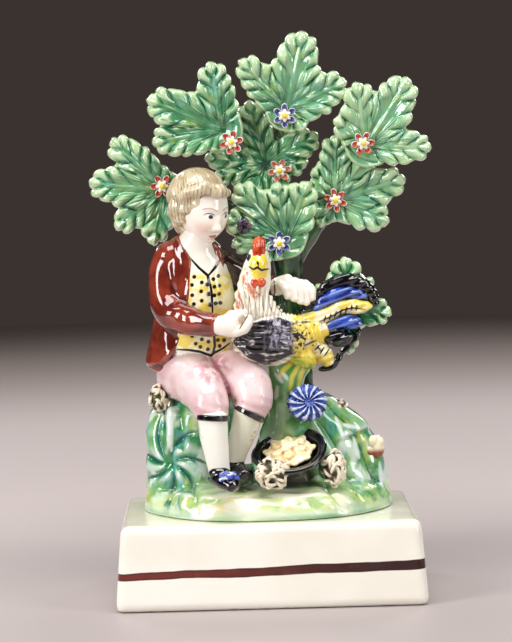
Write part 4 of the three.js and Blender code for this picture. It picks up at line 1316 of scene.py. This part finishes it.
# %% The tail's paint
cobalt = Glaze("cobalt_glaze", gloss=0.08, coat=0.6)
relief = cobalt.noted("relief")
blue = cobalt.mix(cobalt.mottle(4, 2).rise(0.4, 0.62), (22, 42, 128), (48, 80, 176))
blue = cobalt.mix(relief.rise(0.6, 0.92) * 0.55, blue, (130, 152, 214))
cobalt.paint(cobalt.mix(relief.fall(0.2, 0.45) * 0.6, blue, (12, 18, 70))).on(upper_blue, lower_blue)
primrose = Glaze("primrose_glaze", gloss=0.1, coat=0.5)
x, y, z = primrose.spot()
low = primrose.mottle(4, 2, shift=2.0).rise(0.42, 0.56)
straw = primrose.mix(low, (244, 234, 196), (238, 212, 92))
straw = primrose.mix(primrose.noted("relief").fall(0.2, 0.45) * 0.5, straw, (170, 130, 60))
primrose.paint(primrose.mix(primrose.noted("stitches").fall(-0.12, 0.18), straw, (20, 16, 18))).on(pale, yellow_lobe)
black.on(sickle, black_lobe, black_edge)

# %% [markdown]
# ## Hat, flowers and moss
# A black hat lies upside down by the boy's feet and holds a posy of cream petals. It is turned as a
# bowl: one profile, walked from the inside of the crown over the brim to the outside.

# %% A turned shape
def turned_shape(profile, around=64, rings=48):
    """A spun form from (radius, height) pairs; the first and last lie on the axis."""
    rows = np.array(profile, float)
    run = np.concatenate([[0], np.cumsum(np.hypot(*np.diff(rows, axis=0).T))])
    piece, ring, angle = sphere_grid(around, rings)
    radius, height = (np.interp(ring * run[-1], run, rows[:, k]) for k in (0, 1))
    return piece, np.stack([radius * np.cos(angle), radius * np.sin(angle), height], 1)


def tilted(where, at, forward, sideways):
    """Leans a shape towards the viewer, then to one side, and sets it in its place."""
    lean = Matrix.Rotation(math.radians(sideways), 3, "Y") @ Matrix.Rotation(math.radians(forward), 3, "X")
    return where @ np.array(lean).T + at


HAT = {"at": np.array([7.4, -16.5, 51.8]), "forward": 27, "sideways": -10}
hat, form = turned_shape([
    (0, -9.6), (7.6, -9.4), (9.2, -8.4), (9.8, -4), (10.8, -1.6), (13, -0.4), (13.4, 0.5), (12.6, 1.2), (10.6, 0.6),
    (9.2, -1.6), (8.4, -4.6), (0, -5),
], around=80, rings=90)
form[:, 2] += 0.5 * np.sin(2 * np.arctan2(form[:, 1], form[:, 0]) + 0.6) * ease(8, 13, np.hypot(form[:, 0], form[:, 1]))
place(hat, tilted(form, **HAT))
hat.name = hat.data.name = "hat"
tool(hat, lambda where, out: 0.2 * ripple(where, 7, 61))
keep(hat)
black.on(hat)

# %% The posy in the hat
draw = np.random.default_rng(8)
petals = []
for row, count, reach, rise in ((0, 9, 7.2, 0.2), (1, 6, 4.2, 1.6), (2, 3, 1.4, 2.8)):
    for k in range(count):
        heading = TURN * (k + 0.5 * row) / count + draw.uniform(-0.15, 0.15)
        petal = ball((0, 0, 0), (2.5, 1.75, 1.0), around=20, rings=14)
        form = points(petal)
        form[:, 2] += 0.16 * form[:, 0] ** 2 * 0.5 - 0.5 * bell(form[:, 0], 0.4, 1) * bell(form[:, 1], 0, 0.5)
        c, s = math.cos(heading), math.sin(heading)
        form = np.stack([form[:, 0] * c - form[:, 1] * s + reach * c, form[:, 0] * s + form[:, 1] * c + reach * s, form[:, 2] + rise], 1)
        place(petal, tilted(form, **HAT))
        petals.append(petal)
bed = ball((0, 0, 0), (8.4, 8.4, 1.8), around=32, rings=16)
place(bed, tilted(points(bed), **HAT))
posy = knead("posy", [bed, *petals], grain=0.42, soften=1)
pool(posy, rounds=12, reach=0.35)
keep(posy)
cream = Glaze("cream_petal_glaze", gloss=0.12, coat=0.4)
relief = cream.noted("relief")
petal_tone = cream.mix(cream.mottle(4, 2).rise(0.42, 0.6), (244, 232, 196), (240, 216, 160))
cream.paint(cream.mix(relief.fall(0.24, 0.52) * 0.85, petal_tone, (206, 146, 92))).on(posy)

# %% [markdown]
# The large rosette is a strip of clay, fluted with a comb and coiled up. White ribs stand out and
# blue lies in the flutes.

# %% The coiled rosette
ROSETTE = {"at": (14.1, -10.6, 68.2), "radius": 7.2, "ribs": 26}
rosette, ring, angle = sphere_grid(150, 100)
unit = points(rosette)
reach = np.hypot(unit[:, 0], unit[:, 1])
spin = np.arctan2(unit[:, 1], unit[:, 0])
coil = reach * 2.6 - spin / TURN
flute = np.cos(spin * ROSETTE["ribs"] * 0.5 + reach * 5) * ease(0.12, 0.4, reach)
step = (coil - np.floor(coil))
top = ease(-0.1, 0.3, unit[:, 2])
rise = 3.1 * np.sqrt(np.clip(1 - reach ** 2, 0, 1)) ** 0.7
rise = rise + top * (0.75 * step + 0.42 * flute)
span = ROSETTE["radius"] * reach * (1 + 0.03 * np.cos(spin * ROSETTE["ribs"]))
low = -1.5 * np.sqrt(np.clip(1 - reach ** 2, 0, 1))
form = np.stack([span * np.cos(spin), span * np.sin(spin) * 0.9, np.where(unit[:, 2] > 0, rise, low)], 1)
face_on = Matrix.Rotation(math.radians(12), 3, "Z") @ Matrix.Rotation(math.radians(80), 3, "X")
place(rosette, form @ np.array(face_on).T + ROSETTE["at"])
rosette.name = rosette.data.name = "rosette"
note(rosette, "flute", 0.5 + 0.5 * flute)
note(rosette, "step", step)
pool(rosette, rounds=12, reach=0.3)
keep(rosette)
fluted = Glaze("fluted_blue_glaze", gloss=0.08, coat=0.6)
ribs = fluted.noted("flute")
blue = fluted.mix(fluted.mottle(4, 2).rise(0.4, 0.6), (28, 52, 140), (62, 94, 178))
blue = fluted.mix(ribs.rise(0.62, 0.86) * 0.9, blue, (214, 224, 240))
fluted.paint(fluted.mix(fluted.noted("step").fall(0.02, 0.14) * 0.6, blue, (14, 24, 84))).on(rosette)

# %% [markdown]
# The small flowers were stamped out, pinched up and stuck to the wet leaves. Each has six cupped
# petals with white rims, a white star and a yellow eye. One flower is modelled and the others are
# copies of it, turned a little differently and painted red, rust or blue.

# %% One flower
def flower_parts():
    parts = []
    for k in range(6):
        petal = ball((0, 0, 0), (1, 1, 1), around=22, rings=16)
        unit = points(petal)
        rim = np.hypot(unit[:, 0], unit[:, 1])
        form = unit * (1.55, 1.12, 0.75)
        form[:, 2] -= 0.85 * (1 - ease(0.35, 0.95, rim)) * ease(0, 0.3, unit[:, 2])
        form[:, 2] += 0.16 * form[:, 0]
        form[:, 0] += 2.75
        c, s = math.cos(TURN * k / 6), math.sin(TURN * k / 6)
        place(petal, np.stack([form[:, 0] * c - form[:, 1] * s, form[:, 0] * s + form[:, 1] * c, form[:, 2]], 1))
        note(petal, "rim", np.where(unit[:, 2] > -0.2, rim, 1))
        note(petal, "part", np.zeros(len(rim)))
        parts.append(petal)
    star = ball((0, 0, 0.35), (1, 1, 0.75), around=48, rings=16)
    unit = points(star) - (0, 0, 0.35)
    heading = np.arctan2(unit[:, 1], unit[:, 0])
    unit[:, :2] *= (1.95 + 0.42 * np.cos(6 * heading))[:, None]
    place(star, unit + (0, 0, 0.35))
    note(star, "part", np.ones(len(unit)))
    eye = ball((0, 0, 0.8), (1.05, 1.05, 0.75), around=20, rings=12)
    note(eye, "part", np.full(len(points(eye)), 2))
    stem = ball((0, 0, -1), (2.6, 2.6, 1.4), around=24, rings=12)
    note(stem, "part", np.full(len(points(stem)), 3))
    return joined("flower", [*parts, star, eye, stem])


def flower_glaze(name, deep, light):
    petal_glaze = Glaze(name, gloss=0.1, coat=0.5)
    part, rim = petal_glaze.noted("part"), petal_glaze.noted("rim")
    tone = petal_glaze.mix(petal_glaze.mottle(1.6, 2).rise(0.42, 0.6), deep, light)
    tone = petal_glaze.mix(rim.rise(0.74, 0.92) * petal_glaze.mottle(1.8, 1).rise(0.34, 0.5), tone, (240, 230, 224))
    tone = petal_glaze.mix(part.rise(0.4, 0.6), tone, (244, 238, 220))
    tone = petal_glaze.mix(part.rise(1.4, 1.6), tone, (232, 204, 60))
    tone = petal_glaze.mix(part.rise(2.4, 2.6), tone, (60, 110, 70))
    return petal_glaze.paint(tone)


scarlet_flower = flower_glaze("scarlet_flower_glaze", (176, 48, 30), (204, 86, 50))
rust_flower = flower_glaze("rust_flower_glaze", (190, 92, 62), (206, 120, 92))
blue_flower = flower_glaze("blue_flower_glaze", (44, 52, 134), (82, 92, 172))
pattern = flower_parts()
first_form = points(pattern)
FLOWERS = [
    ((-10, 1.6, 160), 15, -8, scarlet_flower), ((-35, 6, 145), 0, 6, scarlet_flower),
    ((9, 2.6, 169), 30, 4, blue_flower), ((7, 10, 149.5), 10, -4, rust_flower),
    ((6, 0.2, 124), 28, 0, blue_flower), ((36.5, 1.6, 158.5), 5, 8, scarlet_flower),
    ((26.5, 6.6, 138.5), 40, 6, scarlet_flower),
]
for number, (at, spin_by, lean, glaze) in enumerate(FLOWERS):
    alone()
    pattern.select_set(True)
    bpy.context.view_layer.objects.active = pattern
    bpy.ops.object.duplicate()
    blossom = bpy.context.object
    blossom.name = blossom.data.name = f"flower_{number + 1}"
    turn = Matrix.Rotation(math.radians(lean), 3, "Z") @ Matrix.Rotation(math.radians(90), 3, "X")
    turn = turn @ Matrix.Rotation(math.radians(spin_by), 3, "Z")
    place(blossom, first_form * (1.02, 1.02, 1.1) @ np.array(turn).T + at)
    keep(blossom)
    glaze.on(blossom)
bpy.data.objects.remove(pattern)

# %% Two buds
dark_bud = knead("dark_bud", [
    ball((-6.5, 1.6, 130.6), (2.6, 2.4, 2.4)),
    *[ball((-6.5 + 1.5 * math.cos(k * TURN / 5), -0.2, 130.6 + 1.5 * math.sin(k * TURN / 5)), (1.2, 1.2, 1.2)) for k in range(5)],
], grain=0.35, soften=1)
slope_bud = knead("slope_bud", [
    ball((39, 0, 50.6), (3, 3.2, 4.4)), ball((37.6, -2, 53), (1.6, 1.6, 2)), ball((40.2, -1.4, 52.4), (1.6, 1.6, 2)),
    ball((36.6, -1.6, 49.4), (1.5, 1.5, 1.8)),
], grain=0.35, soften=2)
for bud in (dark_bud, slope_bud):
    pool(bud, rounds=8, reach=0.2)
    keep(bud)
plum = Glaze("plum_glaze", gloss=0.08, coat=0.6)
plum.paint(plum.mix(plum.noted("relief").rise(0.5, 0.8), (22, 12, 26), (90, 70, 96))).on(dark_bud)
two_tone = Glaze("bud_glaze", gloss=0.1, coat=0.5)
x, y, z = two_tone.spot()
shade = two_tone.mix(z.fall(48.6, 50.6), (240, 228, 196), (150, 66, 40))
two_tone.paint(two_tone.mix(two_tone.noted("relief").fall(0.2, 0.46) * 0.7, shade, (96, 56, 34))).on(slope_bud)

# %% [markdown]
# The moss is clay pushed through a sieve. It comes out as a tangle of short, thick threads. Each
# thread here wanders over a small mound. The gaps between the threads are given painted shade: a
# dark core inside each tuft, and threads that darken towards it.

# %% Moss
MOSS = {
    "hat_moss": ((1.3, -25.4, 45.6), (6.6, 4.6, 6.2), 46), "slope_moss": ((22.6, -20, 46), (5, 4.6, 7.4), 46),
    "seat_moss": ((-38.3, -0.5, 70), (4.4, 4.4, 5.6), 34), "stump_moss": ((25.6, 1.4, 65.4), (4, 4.4, 3.2), 24),
}


def moss_tuft(name, at, size, count, seed):
    draw = np.random.default_rng(seed)
    size = np.array(size)
    threads = []
    for _ in range(count):
        out = draw.normal(size=3) + (0, -0.7, 0.3)
        out /= np.linalg.norm(out)
        way = np.cross(out, draw.normal(size=3))
        way /= np.linalg.norm(way)
        bend = draw.uniform(-0.55, 0.55)
        path = []
        for k in range(6):
            lift = 0.8 + 0.26 * math.sin(k / 5 * math.pi) * draw.uniform(0.6, 1.1)
            path.append((*(np.array(at) + out * (size - 0.9) * lift), 0.62))
            way = way + bend * np.cross(out, way)
            out = out + way * 0.2
            out /= np.linalg.norm(out)
            way -= out * (way @ out)
            way /= np.linalg.norm(way)
        threads.append(limb(path, around=8, ends=0.9, across=tuple(draw.normal(size=3))))
    tuft = joined(name, threads)
    depth = np.linalg.norm((points(tuft) - at) / size, axis=1)
    note(tuft, "depth", depth)
    return keep(tuft)


tufts = [moss_tuft(name, *facts, seed=number + 70) for number, (name, facts) in enumerate(MOSS.items())]
# A dark core in each tuft: painted shade for the gaps between the threads.
shade_cores = keep(joined("moss_shade_cores", [
    ball(at, [0.74 * s for s in size], around=24, rings=16) for at, size, count in MOSS.values()
]))
biscuit = Glaze("moss_glaze", gloss=0.2, coat=0.3)
depth = biscuit.noted("depth")
thread = biscuit.mix(biscuit.mottle(2, 2).rise(0.5, 0.66) * 0.7, (240, 230, 206), (214, 190, 150))
# Threads darken deep inside the tuft: painted shade.
thread = biscuit.mix(depth.fall(0.74, 0.9), thread, (96, 70, 50))
biscuit.paint(thread).on(*tufts)
moss_gap_shade = Glaze("moss_shade_core_glaze", gloss=0.3)
moss_gap_shade.paint(moss_gap_shade.mix(moss_gap_shade.mottle(3, 2).rise(0.4, 0.6), (44, 30, 22), (70, 84, 44))).on(shade_cores)

# %% [markdown]
# ## Light, floor and camera
# The photograph was taken on a pale floor that falls away into shade, with wide soft lamps whose
# long reflections run down the glaze. The floor here is a pale disc with painted shade: its colour
# is a little darker in the middle, where the lamps fall strongest, and darkens outwards for the
# falling light, so that no wall is needed and the back can be looked at as well.

# %% The floor
alone()
bpy.ops.mesh.primitive_circle_add(vertices=128, radius=1.2, fill_type="NGON")
floor = bpy.context.object
floor.name = "floor"
pale = Glaze("pale_floor_painted_shade", gloss=0.55)
x, y, z = pale.spot()
out = (x * x + y * y) ** 0.5 - x * 0.1
# Painted shade: darker in the middle under the strongest lamp light, then fading to dark grey outwards.
tone = pale.mix(out.rise(80, 270), (174, 163, 161), (194, 182, 180))
tone = pale.mix(out.rise(480, 860), tone, (150, 138, 134))
tone = pale.mix(out.rise(760, 1180), tone, (88, 79, 74))
pale.paint(tone).on(floor)

# %% The lamps
world = bpy.data.worlds.new("studio")
bpy.context.scene.world = world
world.use_nodes = True
world.node_tree.nodes["Background"].inputs["Color"].default_value = linear((58, 51, 48))
world.node_tree.nodes["Background"].inputs["Strength"].default_value = 1.0


def lamp(name, at, size, watts, aim=(0, 0, 0.1)):
    alone()
    bpy.ops.object.light_add(type="AREA", location=at)
    made = bpy.context.object
    made.name = name
    made.data.shape = "RECTANGLE"
    made.data.size, made.data.size_y = size
    made.data.energy = watts
    made.rotation_euler = (Vector(at) - Vector(aim)).to_track_quat("Z", "Y").to_euler()
    return made


lamp("left_window", (-0.75, -0.55, 0.45), (0.35, 0.6), 8)
lamp("right_window", (0.8, -0.5, 0.42), (0.3, 0.6), 4.4)
lamp("top_panel", (0.0, -0.25, 0.95), (0.7, 0.45), 8)
lamp("back_left", (-0.5, 0.75, 0.6), (0.4, 0.4), 3)
lamp("back_right", (0.5, 0.75, 0.6), (0.4, 0.4), 3)

# %% The camera
VIEW = {"distance": 0.85, "rise": 4.709, "swing": -0.904, "tilt": -1.379, "aim": (-0.002887, 0, 0.096625)}
rise, swing, tilt = (math.radians(VIEW[key]) for key in ("rise", "swing", "tilt"))
back = Vector((math.sin(swing) * math.cos(rise), -math.cos(swing) * math.cos(rise), math.sin(rise)))
right = (-back).cross(Vector((0, 0, 1))).normalized()
up = right.cross(-back)
right_tilted = math.cos(tilt) * right + math.sin(tilt) * up
up_tilted = -math.sin(tilt) * right + math.cos(tilt) * up
alone()
bpy.ops.object.camera_add()
camera = bpy.context.object
camera.data.lens = 134.25
camera.data.sensor_width = 36
camera.data.clip_start = 0.05
camera.matrix_world = Matrix.Translation(Vector(VIEW["aim"]) + back * VIEW["distance"]) @ Matrix(
    (right_tilted, up_tilted, back)
).transposed().to_4x4()
bpy.context.scene.camera = camera
bpy.context.scene.view_settings.view_transform = "Standard"
